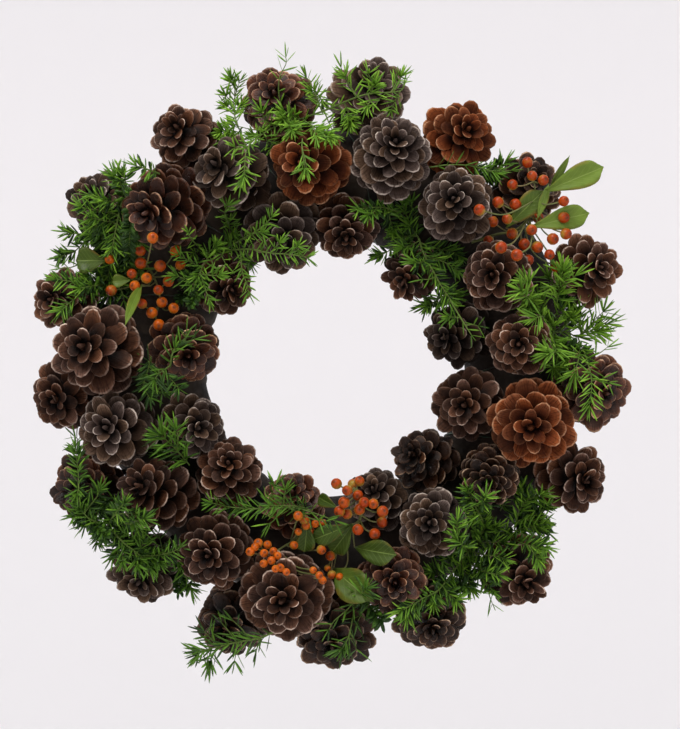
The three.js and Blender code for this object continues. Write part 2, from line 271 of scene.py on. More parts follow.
def addPiece(name, mesh, material, stoodFor):
    piece = bpy.data.objects.new(name, mesh)
    bpy.context.scene.collection.objects.link(piece)
    mesh.materials.clear()
    mesh.materials.append(material)
    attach(piece, "root")
    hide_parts(*stoodFor)


def addCopy(bm, template, matrix, tone):
    start = len(bm.verts)
    bm.from_mesh(template)
    bm.verts.ensure_lookup_table()
    fresh = bm.verts[start:]
    bmesh.ops.transform(bm, matrix=matrix, verts=fresh)
    mark(bm, fresh, tone=tone)


def framed(origin, along, up, size=(1, 1, 1)):
    # X runs along, Z as near to up as it can
    x = along.normalized()
    y = up.cross(x).normalized()
    z = x.cross(y)
    turned = Matrix((x, y, z)).transposed().to_4x4()
    return Matrix.Translation(origin) @ turned @ Matrix.Diagonal((*size, 1))


def blendList(values, t):
    # a value between the entries of an evenly spaced list
    place = min(max(t, 0), 1) * (len(values) - 1)
    index = min(int(place), len(values) - 2)
    part = place - index
    return values[index] * (1 - part) + values[index + 1] * part


def neighbourDirection(points, index):
    # which way a path runs at one of its points
    return (points[min(index + 1, len(points) - 1)] - points[max(index - 1, 0)]).normalized()


def onlyVerts(items):
    return [item for item in items if isinstance(item, bmesh.types.BMVert)]


def jitter(dice, spread):
    return Vector([dice.gauss(0, spread) for _ in range(3)])


def smoothStep(value, low, high):
    part = min(max((value - low) / (high - low), 0), 1)
    return part * part * (3 - 2 * part)


def tubeAlong(bm, points, radii, sides=6, tone=0.5, flat=1.0, side=Vector((0.31, 0.17, 0.93))):
    # a closed stem through the points; reach runs from 0 to 1 along it
    rings = []
    for index, point in enumerate(points):
        ahead = neighbourDirection(points, index)
        side = (side - ahead * side.dot(ahead)).normalized()
        share = index / (len(points) - 1)
        made = bmesh.ops.create_circle(bm, segments=sides, radius=blendList(radii, share),
                                       matrix=framed(point, side, ahead, (1, flat, 1)))
        mark(bm, made["verts"], tone=tone, reach=share)
        rings.append(made["verts"])
    for near, far in zip(rings, rings[1:]):
        loops = [edge for ring in (near, far) for vert in ring for edge in vert.link_edges
                 if edge.other_vert(vert) in ring]
        bmesh.ops.bridge_loops(bm, edges=list(set(loops)))
    for ring in (rings[0], rings[-1]):
        bmesh.ops.contextual_create(bm, geom=ring)
    return rings


def smoothPath(points, step, fineSteps=12):
    # evenly spaced points on a smooth curve through the given ones
    ends = [points[0] * 2 - points[1], *points, points[-1] * 2 - points[-2]]
    fine = []
    for a, b, c, d in zip(ends, ends[1:], ends[2:], ends[3:]):
        for index in range(fineSteps):
            t = index / fineSteps
            fine.append(0.5 * (2 * b + (c - a) * t + (2 * a - 5 * b + 4 * c - d) * t * t
                               + (3 * b - a - 3 * c + d) * t * t * t))
    fine.append(points[-1].copy())
    lengths = [0.0]
    for near, far in zip(fine, fine[1:]):
        lengths.append(lengths[-1] + (far - near).length)
    count = max(2, round(lengths[-1] / step))
    path, place = [], 0
    for index in range(count + 1):
        goal = lengths[-1] * index / count
        while place < len(fine) - 2 and lengths[place + 1] < goal:
            place += 1
        span = lengths[place + 1] - lengths[place]
        path.append(fine[place].lerp(fine[place + 1], (goal - lengths[place]) / span if span else 0))
    return path


def onWreath(x, z, y=0.0):
    # millimetres across and up from the wreath's centre
    return Vector((wreathCentre.x + x * mm, y, wreathCentre.z + z * mm))


# cones

scaleShape = {  # one unit long and wide
    "rows": (0, 0.32, 0.56, 0.76, 0.92, 1),   # from root to rim
    "halfWidth": (0.14, 0.22, 0.36, 0.47, 0.5, 0.5),
    "columns": 7,
    "endAngle": 86,        # how far round the rounded end goes, in degrees
    "bulge": 0.07,
    "thickness": (0.05, 0.06, 0.08, 0.1, 0.12, 0.11),
    "lipHeight": 0.025,
    "lean": (-0.06, 0.06),      # how the templates differ: the way that they lean,
    "curl": (0.2, 1.6),         # how far their sides turn down
    "notch": (-0.035, 0.035),   # and the outline of their ends
    "seeds": (11, 12, 13),
}
scaleKinds = (  # outer, middle and inner scales: how long the round end is, and how the scale arches
    {"endRound": 0.26, "bow": 0.03},
    {"endRound": 0.34, "bow": 0.10},
    {"endRound": 0.46, "bow": 0.19},
)
coneForm = {
    "scales": 54,
    "goldenAngle": 137.508,      # between one scale and the next, in degrees
    "endRadius": (0.66, 0.95, 1.03, 1.0, 0.85, 0.60, 0.24),  # rims of the scales, from base to tip
    "endHeight": (0.02, 0.13, 0.3, 0.48, 0.67, 0.85, 0.97),
    "rootHeight": (0.1, 0.14, 0.24, 0.38, 0.53, 0.69, 0.80),
    "breadth": (0.42, 0.49, 0.53, 0.51, 0.46, 0.36, 0.21),
    "coreRadius": 0.12,
    "coreHeights": (0.04, 0.4, 0.75, 0.93),
    "stalkRadius": (2.0, 2.6),   # millimetres
    "rootInCore": (0.7, 0.3),    # where the scales start, as shares of the core's radius
    "heightSpread": 0.063,       # how unevenly the rims stand along the cone, as a share of it
    "reachSpread": (0.86, 1.042),    # and away from its middle
    "roll": 10,                  # how far the scales tip sideways, in degrees
    "broader": (0.86, 1.1),      # how much they differ in breadth
    "slimming": 0.2,             # how much slimmer the scales of a cone with more of them are
    "scaleTone": 0.19,           # how much the scales of a cone differ in tone
    "coneTone": 0.04,            # and how much the cones do
    "closed": {  # cones with more scales
        "cone_01": 74, "cone_02": 62, "cone_06": 76, "cone_07": 64, "cone_08": 60,
        "cone_09": 62, "cone_10": 62, "cone_14": 64, "cone_31": 62, "cone_39": 60,
    },
    "shade": {  # darker and lighter cones
        "cone_01": 0.08, "cone_06": -0.2, "cone_08": -0.1, "cone_10": -0.18, "cone_11": -0.22,
        "cone_12": 0.1, "cone_14": -0.2, "cone_16": -0.12, "cone_19": -0.2, "cone_20": -0.15,
        "cone_21": -0.25, "cone_25": 0.08, "cone_29": 0.2, "cone_30": 0.1, "cone_32": 0.18,
        "cone_33": 0.12, "cone_37": -0.1, "cone_38": -0.1, "cone_40": -0.15, "cone_42": 0.12,
        "cone_43": 0.16, "cone_44": 0.1, "cone_45": 0.1,
    },
}


def scaleTemplate(kind, seed):
    # a woody scale: X from root to rim, Y across, Z towards the cone's tip
    dice = random.Random(seed)
    shape = scaleShape
    rows, columns = len(shape["rows"]), shape["columns"]
    lean, curl, notch = (dice.uniform(*shape[key]) for key in ("lean", "curl", "notch"))
    bm = newShape()
    rim, reach, across = (bm.verts.layers.float[name] for name in ("rim", "reach", "across"))
    bmesh.ops.create_grid(bm, x_segments=rows - 1, y_segments=columns - 1, size=1)
    for vert in bm.verts:
        row = round((vert.co.x + 1) / 2 * (rows - 1))
        u, v = shape["rows"][row], vert.co.y
        angle = math.radians(shape["endAngle"]) * v
        end = smoothStep(u, 0.25, 0.9)
        half = shape["halfWidth"][row]
        y = half * (v * (1 - end) + math.sin(angle) * end)
        y += lean * u * u + notch * end * math.sin(angle * 2)
        x = u - kind["endRound"] * (1 - math.cos(angle)) * end
        edge = max(abs(v) * smoothStep(u, 0.4, 0.8), u)
        z = kind["bow"] * 4 * x * (1 - x) - shape["bulge"] * curl * (math.sin(angle) ** 2) * end
        vert.co = (x, y, z + shape["lipHeight"] * smoothStep(edge, 0.9, 1.0))
        vert[reach], vert[across] = u, y
        # the rim mask fades towards the scale's sides, so the pale rim with its painted highlight makes
        # a crescent at the end
        vert[rim] = smoothStep(edge, 0.93, 1) * (1 - 0.75 * smoothStep(abs(v), 0.45, 1))
    for drop, shrink, back, pale in ((0.5, 1.02, -0.01, 0.95), (0.5, 0.84, 0.06, 0.2)):
        # the rim is rounded in two steps, and an underside closes it
        edges = [edge for edge in bm.edges if edge.is_boundary]
        made = bmesh.ops.extrude_edge_only(bm, edges=edges)["geom"]
        for vert in onlyVerts(made):
            vert.co.z -= drop * blendList(shape["thickness"], vert[reach])
            vert.co.x -= back * smoothStep(vert[reach], 0.8, 1)
            vert.co.y *= shrink
            vert[rim] = min(pale, vert[rim]) * smoothStep(vert[reach], 0.6, 0.95)
    lastEdges = [item for item in made if isinstance(item, bmesh.types.BMEdge)]
    bmesh.ops.contextual_create(bm, geom=lastEdges)
    bmesh.ops.recalc_face_normals(bm, faces=bm.faces)
    return asMesh("scale", bm)


def readCone(node):
    # the flat disc at a cone's stalk end gives its axis, and the rest of its solid its size
    mesh = node.data
    areas, sums = {}, {}
    for polygon in mesh.polygons:
        key = tuple(round(value, 2) for value in polygon.normal)
        areas[key] = areas.get(key, 0) + polygon.area
        sums.setdefault(key, [Vector(), Vector()])
        sums[key][0] += polygon.center * polygon.area
        sums[key][1] += polygon.normal * polygon.area
    key = max(areas, key=areas.get)
    base = sums[key][0] / areas[key]
    axis = -sums[key][1].normalized()
    heights = [(vert.co - base).dot(axis) for vert in mesh.vertices]
    radius = max((vert.co - base - axis * height).length
                 for vert, height in zip(mesh.vertices, heights) if height > 0)
    lowest = min(heights)
    end = [vert.co for vert, height in zip(mesh.vertices, heights) if height < lowest + 1.5 * mm]
    return base, axis, max(heights), radius, sum(end, Vector()) / len(end)


def growCone(node, seed, templates):
    dice = random.Random(seed)
    base, axis, length, radius, stalkEnd = readCone(node)
    form = coneForm
    sideways = axis.orthogonal().normalized()
    turn = dice.uniform(0, 360)
    hand = dice.choice((-1, 1))
    coneTone = form["shade"].get(node.name, 0.0) + dice.uniform(-form["coneTone"], form["coneTone"])
    count = form["closed"].get(node.name, form["scales"])
    slender = (form["scales"] / count) ** form["slimming"]
    core = form["coreRadius"] * radius
    bm = newShape()
    corePoints = [base + axis * height * length for height in form["coreHeights"]]
    coreRadii = [thick * mm for thick in form["stalkRadius"]] + [core, core * 0.8, core * 0.3]
    tubeAlong(bm, [stalkEnd] + corePoints, coreRadii, 8)
    for index in range(count):
        t = index / (count - 1)
        around = math.radians(turn + hand * index * form["goldenAngle"])
        out = Matrix.Rotation(around, 3, axis) @ sideways
        root = base + axis * blendList(form["rootHeight"], t) * length
        root += out * core * blendList(form["rootInCore"], t)
        height = blendList(form["endHeight"], t) + dice.gauss(0, form["heightSpread"])
        reach = blendList(form["endRadius"], t)
        rim = base + axis * length * height + out * radius * reach * dice.uniform(*form["reachSpread"])
        along = rim - root
        roll = Matrix.Rotation(math.radians(dice.gauss(0, form["roll"])), 3, along)
        broad = blendList(form["breadth"], t) * radius * slender * dice.uniform(*form["broader"])
        kind = templates[min(int(t * len(templates)), len(templates) - 1)]
        addCopy(bm, dice.choice(kind),
                framed(root, along, roll @ axis, (along.length, broad, broad * 1.1)),
                0.5 + coneTone + dice.gauss(0, form["scaleTone"]))
    return asMesh(node.name, bm)


coneLooks = {  # near the core each scale darkens to painted shade where the next one overlaps it; lip is its colour near its rim, and rim its pale edge, partly a painted highlight
    "cone_brown": {
        "deep": (0.002, 0.001, 0.0007), "body": (0.030, 0.0125, 0.0062),
        "lip": (0.078, 0.040, 0.025), "rim": (0.52, 0.39, 0.31), "rough": 0.55, "shine": 0.08,
    },
    "cone_dark": {
        "deep": (0.0015, 0.001, 0.0006), "body": (0.017, 0.0074, 0.0036),
        "lip": (0.046, 0.022, 0.011), "rim": (0.46, 0.31, 0.20), "rough": 0.34, "shine": 0.16,
    },
    "cone_grey": {
        "deep": (0.003, 0.002, 0.0015), "body": (0.028, 0.0185, 0.0135),
        "lip": (0.068, 0.050, 0.039), "rim": (0.40, 0.33, 0.28), "rough": 0.7, "shine": 0.05,
    },
    "cone_red": {
        "deep": (0.002, 0.0007, 0.0004), "body": (0.027, 0.0085, 0.0036),
        "lip": (0.074, 0.027, 0.012), "rim": (0.52, 0.31, 0.18), "rough": 0.36, "shine": 0.22,
    },
    "cone_orange": {
        "deep": (0.006, 0.0015, 0.0007), "body": (0.054, 0.0135, 0.004),
        "lip": (0.115, 0.038, 0.014), "rim": (0.42, 0.22, 0.12), "rough": 0.65, "shine": 0.05,
    },
}


def coneMaterial(name, look):
    material, tree, shader = newMaterial(name)
    tone, rim, reach, across = (attributeOf(tree, key) for key in marks)
    grain = noiseOf(tree, 420, 4)
    blotch = noiseOf(tree, 95, 3)
    # streaks run along each scale
    lengthways = addNode(tree, "ShaderNodeCombineXYZ")
    for socket, (value, times) in zip(lengthways.inputs, ((across, 22.0), (tone, 60.0), (reach, 2.5))):
        tree.links.new(multiply(tree, value, times), socket)
    streakNoise = addNode(tree, "ShaderNodeTexNoise")
    streakNoise.inputs["Scale"].default_value = 1.0
    tree.links.new(lengthways.outputs[0], streakNoise.inputs["Vector"])
    streak = streakNoise.outputs["Fac"]
    # painted shade: each scale darkens from its rim towards the core, where the next scale overlaps it
    body = mixColour(tree, rangeNode(tree, reach, 0.42, 0.9), look["deep"], look["body"])
    streaks = rangeNode(tree, streak, 0.3, 0.65, 0.2, 1)
    lipShare = multiply(tree, rangeNode(tree, reach, 0.74, 1.0), streaks)
    body = mixColour(tree, lipShare, body, look["lip"])
    # scales and patches of them differ in how light they are
    shade = mathNode(tree, "ADD", multiply(tree, tone, 0.9), multiply(tree, blotch, 0.9))
    lightness = mixColour(tree, rangeNode(tree, shade, 0.55, 1.25),
                          (0.45, 0.43, 0.41), (1.8, 1.75, 1.7))
    body = mixColour(tree, 1.0, body, lightness, "MULTIPLY")
    # each scale is a little warmer or cooler than its neighbours, with a paler or duller rim, whose
    # pale is partly a painted highlight
    warmth = rangeNode(tree, mathNode(tree, "SINE", multiply(tree, tone, 173.0)), -1.0, 1.0)
    rimWearAndGlint = rangeNode(tree, mathNode(tree, "SINE", multiply(tree, tone, 97.0)), -1.0, 0.5, 0.35, 1.2)
    hue = mixColour(tree, warmth, (0.90, 0.91, 1.03), (1.2, 1.02, 0.86))
    body = mixColour(tree, 1.0, body, hue, "MULTIPLY")
    # a faint darker line runs round each scale inside its rim, and the grooves between the streaks
    # darken, both towards the painted shade colour
    fromRidge = mathNode(tree, "ABSOLUTE", mathNode(tree, "SUBTRACT", reach, 0.87))
    body = mixColour(tree, rangeNode(tree, fromRidge, 0.05, 0.0, 0, 0.3), body, look["deep"])
    body = mixColour(tree, rangeNode(tree, streak, 0.5, 0.3, 0.0, 0.45), body, look["deep"])
    # the pale rim: partly the scales' paler margin, partly a painted highlight, stronger on some scales
    # than on others
    line = multiply(tree, rangeNode(tree, rim, 0.5, 1.0), rimWearAndGlint)
    edge = multiply(tree, line, rangeNode(tree, grain, 0.35, 0.6, 0.2, 1.0))
    edge = multiply(tree, edge, rangeNode(tree, shade, 0.55, 1.2, 0.12, 0.95))
    roughness = rangeNode(tree, grain, 0.3, 0.7, look["rough"] - 0.1, look["rough"] + 0.12)
    height = mathNode(tree, "ADD", mathNode(tree, "ADD", grain, blotch), streak)
    finishShader(tree, shader, mixColour(tree, edge, body, look["rim"]), roughness,
                 bumpOf(tree, height, 0.6, 0.0006), look["shine"])
    return material


coneMaterials = {name: coneMaterial(name, look) for name, look in coneLooks.items()}
slotOfNode = {part["node"]: part["material_slot"] for part in frame["record"]["subparts"]}
scaleTemplates = [[scaleTemplate(kind, seed) for seed in scaleShape["seeds"]] for kind in scaleKinds]
coneNodes = sorted(name for name in cadNodes if name.startswith("cone_"))
for number, name in enumerate(coneNodes):
    addPiece("pine_" + name, growCone(cadNodes[name], 100 + number, scaleTemplates),
             coneMaterials[slotOfNode[name]], [name])
print("cones grown:", len(coneNodes))


# the surface of the cones, which stems and berries lie on

def coneSurface():
    bm = bmesh.new()
    for name in coneNodes:
        bm.from_mesh(cadNodes[name].data)
    tree = BVHTree.FromBMesh(bm)
    bm.free()
    return tree


conesTree = coneSurface()
rimY = -26 * mm  # depth of a stem that has run out past the cones
wellInFront = -1.0  # depth that the rays start from


def frontAt(x, z, missing=rimY):
    hit = conesTree.ray_cast(onWreath(x, z, wellInFront), -frontAxis)[0]
    return missing if hit is None else hit.y


def drape(route, standOff, step=3.0, bridges=12):
    # a springy stem bridges the hollows between the cones
    def mean(near):
        return sum(near) / len(near)

    flat = smoothPath([Vector((x, 0, z)) for x, z in route], step)
    depths = [frontAt(point.x, point.z) - standOff * mm for point in flat]
    reach = round(bridges / step)
    for pick in (min, mean, mean):
        depths = [pick(depths[max(0, i - reach):i + reach + 1]) for i in range(len(depths))]
    return [onWreath(point.x, point.z, depth) for point, depth in zip(flat, depths)]


# ferny greenery

# each twig's kind, and its points across and up from the wreath's centre, in millimetres
sprigTwigs = {
    "green_top": [
        ("wisp", (-20, 166), (0, 172), (20, 178), (42, 180), (45, 185)),
        ("star", (14, 178), (10, 184), (7, 190)),
        ("wisp", (10, 184), (6, 191), (4, 196)),
        ("feather", (25, 179), (24, 184), (22, 191)),
        ("star", (2, 172), (6, 168), (9, 165)),
        ("star", (22, 179), (23, 174), (21, 170)),
        ("feather", (42, 180), (39, 174), (37, 169)),
        ("wisp", (33, 180), (28, 175), (25, 172)),
        ("feather", (-20, 166), (-30, 163), (-40, 158), (-47, 152), (-53, 146), (-57, 138), (-58, 122)),
        ("star", (-40, 158), (-46, 163), (-48, 167)),
        ("star", (-24, 165), (-29, 167), (-33, 167)),
        ("star", (-47, 152), (-51, 154), (-54, 154)),
        ("wisp", (-33, 164), (-35, 172), (-37, 181), (-36, 190), (-32, 198), (-32, 202)),
        ("feather", (-8, 170), (-11, 177), (-13, 183), (-17, 190), (-19, 193)),
        ("star", (-11, 177), (-13, 181), (-15, 183)),
        ("star", (-22, 165), (-17, 158), (-12, 154)),
        ("wisp", (-24, 162), (-21, 150), (-21, 141), (-19, 133), (-18, 127)),
        ("bare", (-42, 158), (-53, 157), (-64, 159)),
        ("feather", (-64, 158), (-67, 168), (-68, 178), (-66, 186), (-64, 192)),
        ("star", (-68, 178), (-71, 180), (-73, 182)),
        ("star", (-66, 186), (-68, 190), (-69, 191)),
        ("star", (-66, 168), (-65, 172), (-63, 175)),
        ("star", (-60, 160), (-66, 156), (-69, 154)),
        ("feather", (-53, 146), (-60, 142), (-64, 141)),
        ("burst", (-66, 158), (-69, 156), (-73, 152)),
        ("burst", (-66, 160), (-72, 159), (-76, 158)),
        ("burst", (-24, 165), (-29, 164), (-34, 162)),
        ("burst", (-30, 163), (-30, 158), (-28, 154)),
        ("burst", (-14, 156), (-9, 153), (-5, 149)),
        ("star", (-18, 158), (-14, 155), (-12, 149)),
        ("burst", (6, 172), (9, 167), (10, 161)),
        ("burst", (20, 179), (23, 180), (26, 184)),
        ("star", (-66, 182), (-67, 188), (-69, 193)),
        ("star", (-64, 170), (-68, 173), (-72, 175)),
        ("star", (36, 181), (40, 186), (43, 190)),
        ("star", (-4, 162), (-3, 158), (-1, 152)),
        ("star", (-56, 130), (-58, 124), (-60, 119)),
        ("star", (-45, 152), (-44, 149), (-42, 146)),
        ("star", (-20, 141), (-20, 133), (-19, 127)),
        ("star", (-15, 187), (-12, 183), (-9, 178)),
    ],
    "green_upper_left": [
        ("feather", (-141, 116), (-143, 104), (-145, 92), (-147, 80)),
        ("feather", (-114, 126), (-121, 128), (-128, 130)),
        ("star", (-134, 116), (-140, 121), (-143, 124)),
        ("feather", (-136, 112), (-136, 120), (-138, 126)),
        ("star", (-140, 107), (-146, 109), (-151, 109)),
        ("feather", (-151, 109), (-157, 112), (-161, 113)),
        ("feather", (-143, 101), (-153, 103), (-162, 104), (-166, 105)),
        ("feather", (-146, 95), (-154, 97), (-160, 98)),
        ("star", (-146, 86), (-153, 87), (-158, 88)),
        ("feather", (-156, 88), (-165, 89), (-174, 89), (-179, 90)),
        ("feather", (-160, 80), (-170, 79), (-179, 76), (-185, 74)),
        ("star", (-152, 92), (-157, 93), (-160, 94)),
        ("wisp", (-168, 72), (-176, 67), (-183, 66)),
        ("feather", (-150, 76), (-152, 66), (-154, 56)),
        ("star", (-154, 62), (-162, 60), (-167, 59)),
        ("star", (-156, 55), (-164, 53), (-168, 52)),
        ("feather", (-158, 56), (-168, 56), (-178, 57), (-184, 58)),
        ("star", (-146, 50), (-152, 48), (-157, 47)),
        ("feather", (-156, 52), (-166, 48), (-174, 43), (-180, 37)),
        ("wisp", (-148, 60), (-144, 52), (-142, 45)),
        ("star", (-143, 92), (-137, 88), (-132, 84)),
        ("star", (-142, 78), (-136, 70), (-131, 66)),
        ("mat", (-138, 112), (-140, 98), (-142, 84), (-143, 70), (-145, 56)),
        ("mat", (-132, 104), (-134, 92), (-136, 80), (-138, 66)),
        ("mat", (-158, 100), (-155, 88), (-157, 76), (-158, 66)),
        ("mat", (-151, 86), (-150, 72), (-151, 60), (-152, 50)),
        ("mat", (-146, 82), (-140, 66), (-138, 54)),
        ("mat", (-160, 62), (-150, 54), (-142, 52)),
    ],
    "green_inner_top": [
        ("feather", (-90, 79), (-80, 79), (-70, 78), (-55, 77), (-42, 74), (-30, 73), (-18, 71)),
        ("feather", (-74, 80), (-65, 84), (-57, 86), (-50, 89), (-45, 93), (-41, 97)),
        ("star", (-60, 85), (-52, 87), (-47, 87)),
        ("star", (-74, 84), (-71, 91), (-71, 97)),
        ("star", (-76, 83), (-72, 87), (-69, 89)),
        ("feather", (-63, 77), (-62, 70), (-61, 62), (-58, 55), (-57, 49)),
        ("star", (-60, 76), (-58, 72), (-57, 70)),
        ("star", (-86, 78), (-86, 70), (-88, 64), (-90, 60)),
        ("feather", (-88, 64), (-91, 58), (-94, 54)),
        ("feather", (-88, 62), (-86, 55), (-84, 48), (-82, 44)),
        ("wisp", (-78, 78), (-74, 72), (-72, 68)),
        ("wisp", (-84, 76), (-81, 70), (-80, 66)),
        ("star", (-86, 80), (-91, 79), (-94, 77)),
        ("wisp", (-90, 80), (-94, 84), (-95, 87)),
        ("star", (-42, 74), (-38, 78), (-36, 80)),
        ("star", (-30, 73), (-26, 76), (-24, 78)),
        ("burst", (-90, 70), (-85, 76), (-79, 80)),
        ("feather", (-88, 66), (-96, 70), (-103, 74)),
        ("star", (-90, 58), (-98, 58), (-104, 60)),
        ("star", (-86, 62), (-80, 60), (-76, 60)),
        ("star", (-73, 92), (-72, 100), (-70, 105)),
        ("mat", (-84, 74), (-92, 66), (-98, 60)),
        ("mat", (-84, 58), (-90, 50), (-95, 42)),
        ("mat", (-98, 66), (-102, 56), (-104, 46)),
    ],
    "green_upper_right": [
        ("feather", (56, 86), (59, 76), (64, 66), (70, 55), (76, 46)),
        ("wisp", (76, 46), (80, 38), (85, 29), (90, 21)),
        ("wisp", (62, 132), (78, 134), (92, 133), (104, 130), (116, 130)),
        ("feather", (42, 104), (33, 106), (24, 105), (16, 104)),
        ("star", (30, 104), (26, 102), (22, 100)),
        ("star", (54, 100), (52, 106), (51, 110)),
        ("star", (56, 88), (53, 92), (50, 95)),
        ("star", (52, 86), (46, 88), (42, 89)),
        ("star", (34, 102), (38, 96), (39, 93)),
        ("feather", (48, 84), (40, 80), (33, 76), (28, 74)),
        ("feather", (58, 84), (68, 80), (78, 78), (83, 75)),
        ("feather", (62, 76), (70, 72), (78, 67), (82, 64)),
        ("star", (62, 72), (57, 69), (53, 69)),
        ("wisp", (68, 60), (62, 58), (58, 58)),
        ("star", (72, 50), (78, 48), (81, 47)),
        ("wisp", (77, 43), (66, 43), (58, 41)),
        ("star", (83, 33), (78, 33), (75, 33)),
        ("wisp", (86, 27), (91, 28), (94, 27)),
        ("star", (46, 98), (47, 104), (46, 109)),
        ("star", (54, 84), (50, 81), (46, 80)),
        ("star", (72, 47), (67, 44), (62, 41)),
        ("star", (92, 133), (99, 131), (106, 129)),
        ("star", (100, 130), (107, 133), (113, 136)),
        ("mat", (92, 131), (100, 128), (110, 126)),
    ],
    "green_right": [
        ("burst", (152, 24), (143, 31), (135, 37), (129, 43)),
        ("star", (141, 32), (135, 33), (131, 32)),
        ("star", (143, 31), (139, 37), (138, 43)),
        ("burst", (148, 42), (149, 53), (150, 63)),
        ("feather", (149, 50), (154, 56), (158, 60)),
        ("star", (148, 52), (145, 57), (143, 60)),
        ("star", (148, 26), (149, 33), (151, 38)),
        ("star", (150, 24), (155, 29), (158, 33)),
        ("star", (151, 16), (147, 21), (146, 27)),
        ("burst", (150, 14), (144, 10), (139, 9)),
        ("star", (151, 16), (151, 8), (151, 2)),
        ("star", (150, 12), (146, 5), (146, 0)),
        ("feather", (150, 20), (158, 21), (164, 19), (169, 25), (174, 31), (180, 37)),
        ("feather", (170, 26), (177, 29), (183, 29)),
        ("feather", (166, 22), (164, 30), (164, 38)),
        ("feather", (164, 19), (167, 8), (168, -2), (168, -12), (167, -20), (166, -25)),
        ("wisp", (168, 5), (175, 9), (180, 13)),
        ("wisp", (168, -8), (174, -8), (178, -10)),
        ("star", (164, 16), (160, 10), (157, 6)),
        ("star", (165, 14), (161, 4), (158, -4)),
        ("star", (133, 40), (126, 44), (121, 49)),
        ("star", (131, 42), (127, 50), (125, 55)),
        ("burst", (166, 22), (171, 24), (176, 24)),
        ("mat", (150, 16), (158, 12), (166, 8)),
        ("mat", (160, 28), (158, 38), (154, 46)),
    ],
    "green_lower_right": [
        ("feather", (98, -116), (90, -125), (84, -132), (76, -140), (68, -147), (58, -151), (44, -158)),
        ("feather", (98, -116), (100, -106), (93, -93), (89, -86), (87, -80)),
        ("star", (93, -93), (90, -90), (89, -88)),
        ("star", (93, -93), (96, -87), (97, -84)),
        ("feather", (98, -116), (104, -113), (113, -112), (122, -110), (130, -108), (137, -107)),
        ("star", (120, -108), (124, -97), (128, -90)),
        ("star", (128, -90), (126, -83), (123, -80)),
        ("star", (128, -90), (134, -86), (137, -85)),
        ("star", (94, -122), (98, -114), (101, -108)),
        ("feather", (94, -122), (101, -118), (108, -117), (113, -117)),
        ("star", (98, -112), (97, -106), (95, -102)),
        ("star", (88, -124), (83, -116), (79, -112)),
        ("feather", (80, -113), (79, -106), (79, -100)),
        ("wisp", (86, -118), (86, -108), (86, -102)),
        ("wisp", (132, -108), (138, -110), (143, -111)),
        ("feather", (112, -113), (120, -116), (128, -118), (134, -120)),
        ("star", (128, -118), (132, -124), (134, -127)),
        ("star", (130, -118), (136, -118), (139, -119)),
        ("feather", (90, -126), (98, -126), (106, -125), (112, -127)),
        ("star", (88, -128), (93, -134), (97, -139)),
        ("feather", (97, -139), (102, -145), (105, -149)),
        ("wisp", (100, -144), (103, -152), (105, -158)),
        ("feather", (92, -132), (100, -136), (108, -137)),
        ("star", (80, -136), (77, -132), (77, -128)),
        ("star", (74, -141), (68, -139), (65, -138)),
        ("star", (68, -147), (66, -151), (65, -155)),
        ("star", (72, -145), (76, -151), (80, -154)),
        ("star", (54, -153), (50, -158), (47, -163)),
        ("star", (104, -113), (106, -109), (108, -108)),
        ("feather", (121, -103), (130, -103), (140, -104)),
        ("star", (130, -102), (137, -98), (142, -94)),
        ("star", (131, -96), (129, -92), (127, -88)),
        ("star", (85, -133), (89, -141), (91, -148)),
        ("star", (112, -98), (113, -94), (113, -90)),
        ("mat", (118, -104), (130, -106), (142, -108)),
        ("mat", (84, -130), (88, -140), (90, -150)),
        ("mat", (100, -124), (104, -132), (106, -140)),
        ("mat", (128, -90), (134, -98), (138, -104)),
        ("mat", (70, -146), (78, -146), (86, -146)),
    ],
    "green_bottom": [
        ("feather", (-40, -173), (-48, -177), (-57, -179), (-67, -181), (-78, -184), (-88, -186)),
        ("star", (-82, -185), (-87, -188), (-90, -190)),
        ("star", (-76, -184), (-80, -189), (-82, -193)),
        ("wisp", (-64, -181), (-69, -174), (-74, -168)),
        ("wisp", (-56, -179), (-62, -171), (-67, -166)),
        ("feather", (-76, -183), (-82, -178), (-86, -173)),
        ("wisp", (-64, -181), (-65, -188), (-66, -193)),
        ("wisp", (-50, -178), (-51, -184), (-52, -188)),
        ("wisp", (14, -154), (12, -164), (10, -174), (9, -183)),
        ("star", (10, -172), (8, -179), (5, -184)),
        ("wisp", (18, -152), (19, -160), (15, -168)),
        ("wisp", (10, -174), (13, -180), (14, -185)),
        ("star", (14, -152), (17, -148), (20, -144)),
        ("wisp", (16, -152), (8, -160), (0, -166), (-4, -172)),
        ("mat", (18, -150), (24, -158), (30, -166)),
    ],
    "green_lower_left": [
        ("feather", (-150, -107), (-157, -103), (-163, -99), (-167, -94)),
        ("feather", (-150, -108), (-141, -116), (-133, -121), (-127, -126)),
        ("feather", (-166, -90), (-168, -82), (-168, -74), (-169, -64), (-170, -54)),
        ("star", (-167, -76), (-168, -80), (-169, -83)),
        ("wisp", (-170, -52), (-173, -49), (-175, -47)),
        ("star", (-160, -93), (-157, -86), (-155, -81)),
        ("star", (-160, -95), (-167, -97), (-172, -98)),
        ("star", (-157, -103), (-163, -103), (-166, -104)),
        ("feather", (-154, -105), (-158, -111), (-160, -117)),
        ("feather", (-150, -108), (-153, -112), (-154, -114)),
        ("feather", (-152, -106), (-147, -99), (-141, -96), (-134, -95), (-129, -95)),
        ("star", (-147, -99), (-146, -94), (-145, -91)),
        ("feather", (-150, -107), (-141, -104), (-133, -104), (-128, -106)),
        ("star", (-133, -121), (-130, -127), (-129, -131)),
        ("star", (-130, -123), (-125, -127), (-122, -131)),
        ("star", (-128, -122), (-121, -125), (-116, -128)),
        ("feather", (-124, -124), (-115, -123), (-107, -121), (-101, -118)),
        ("star", (-112, -123), (-107, -125), (-104, -128)),
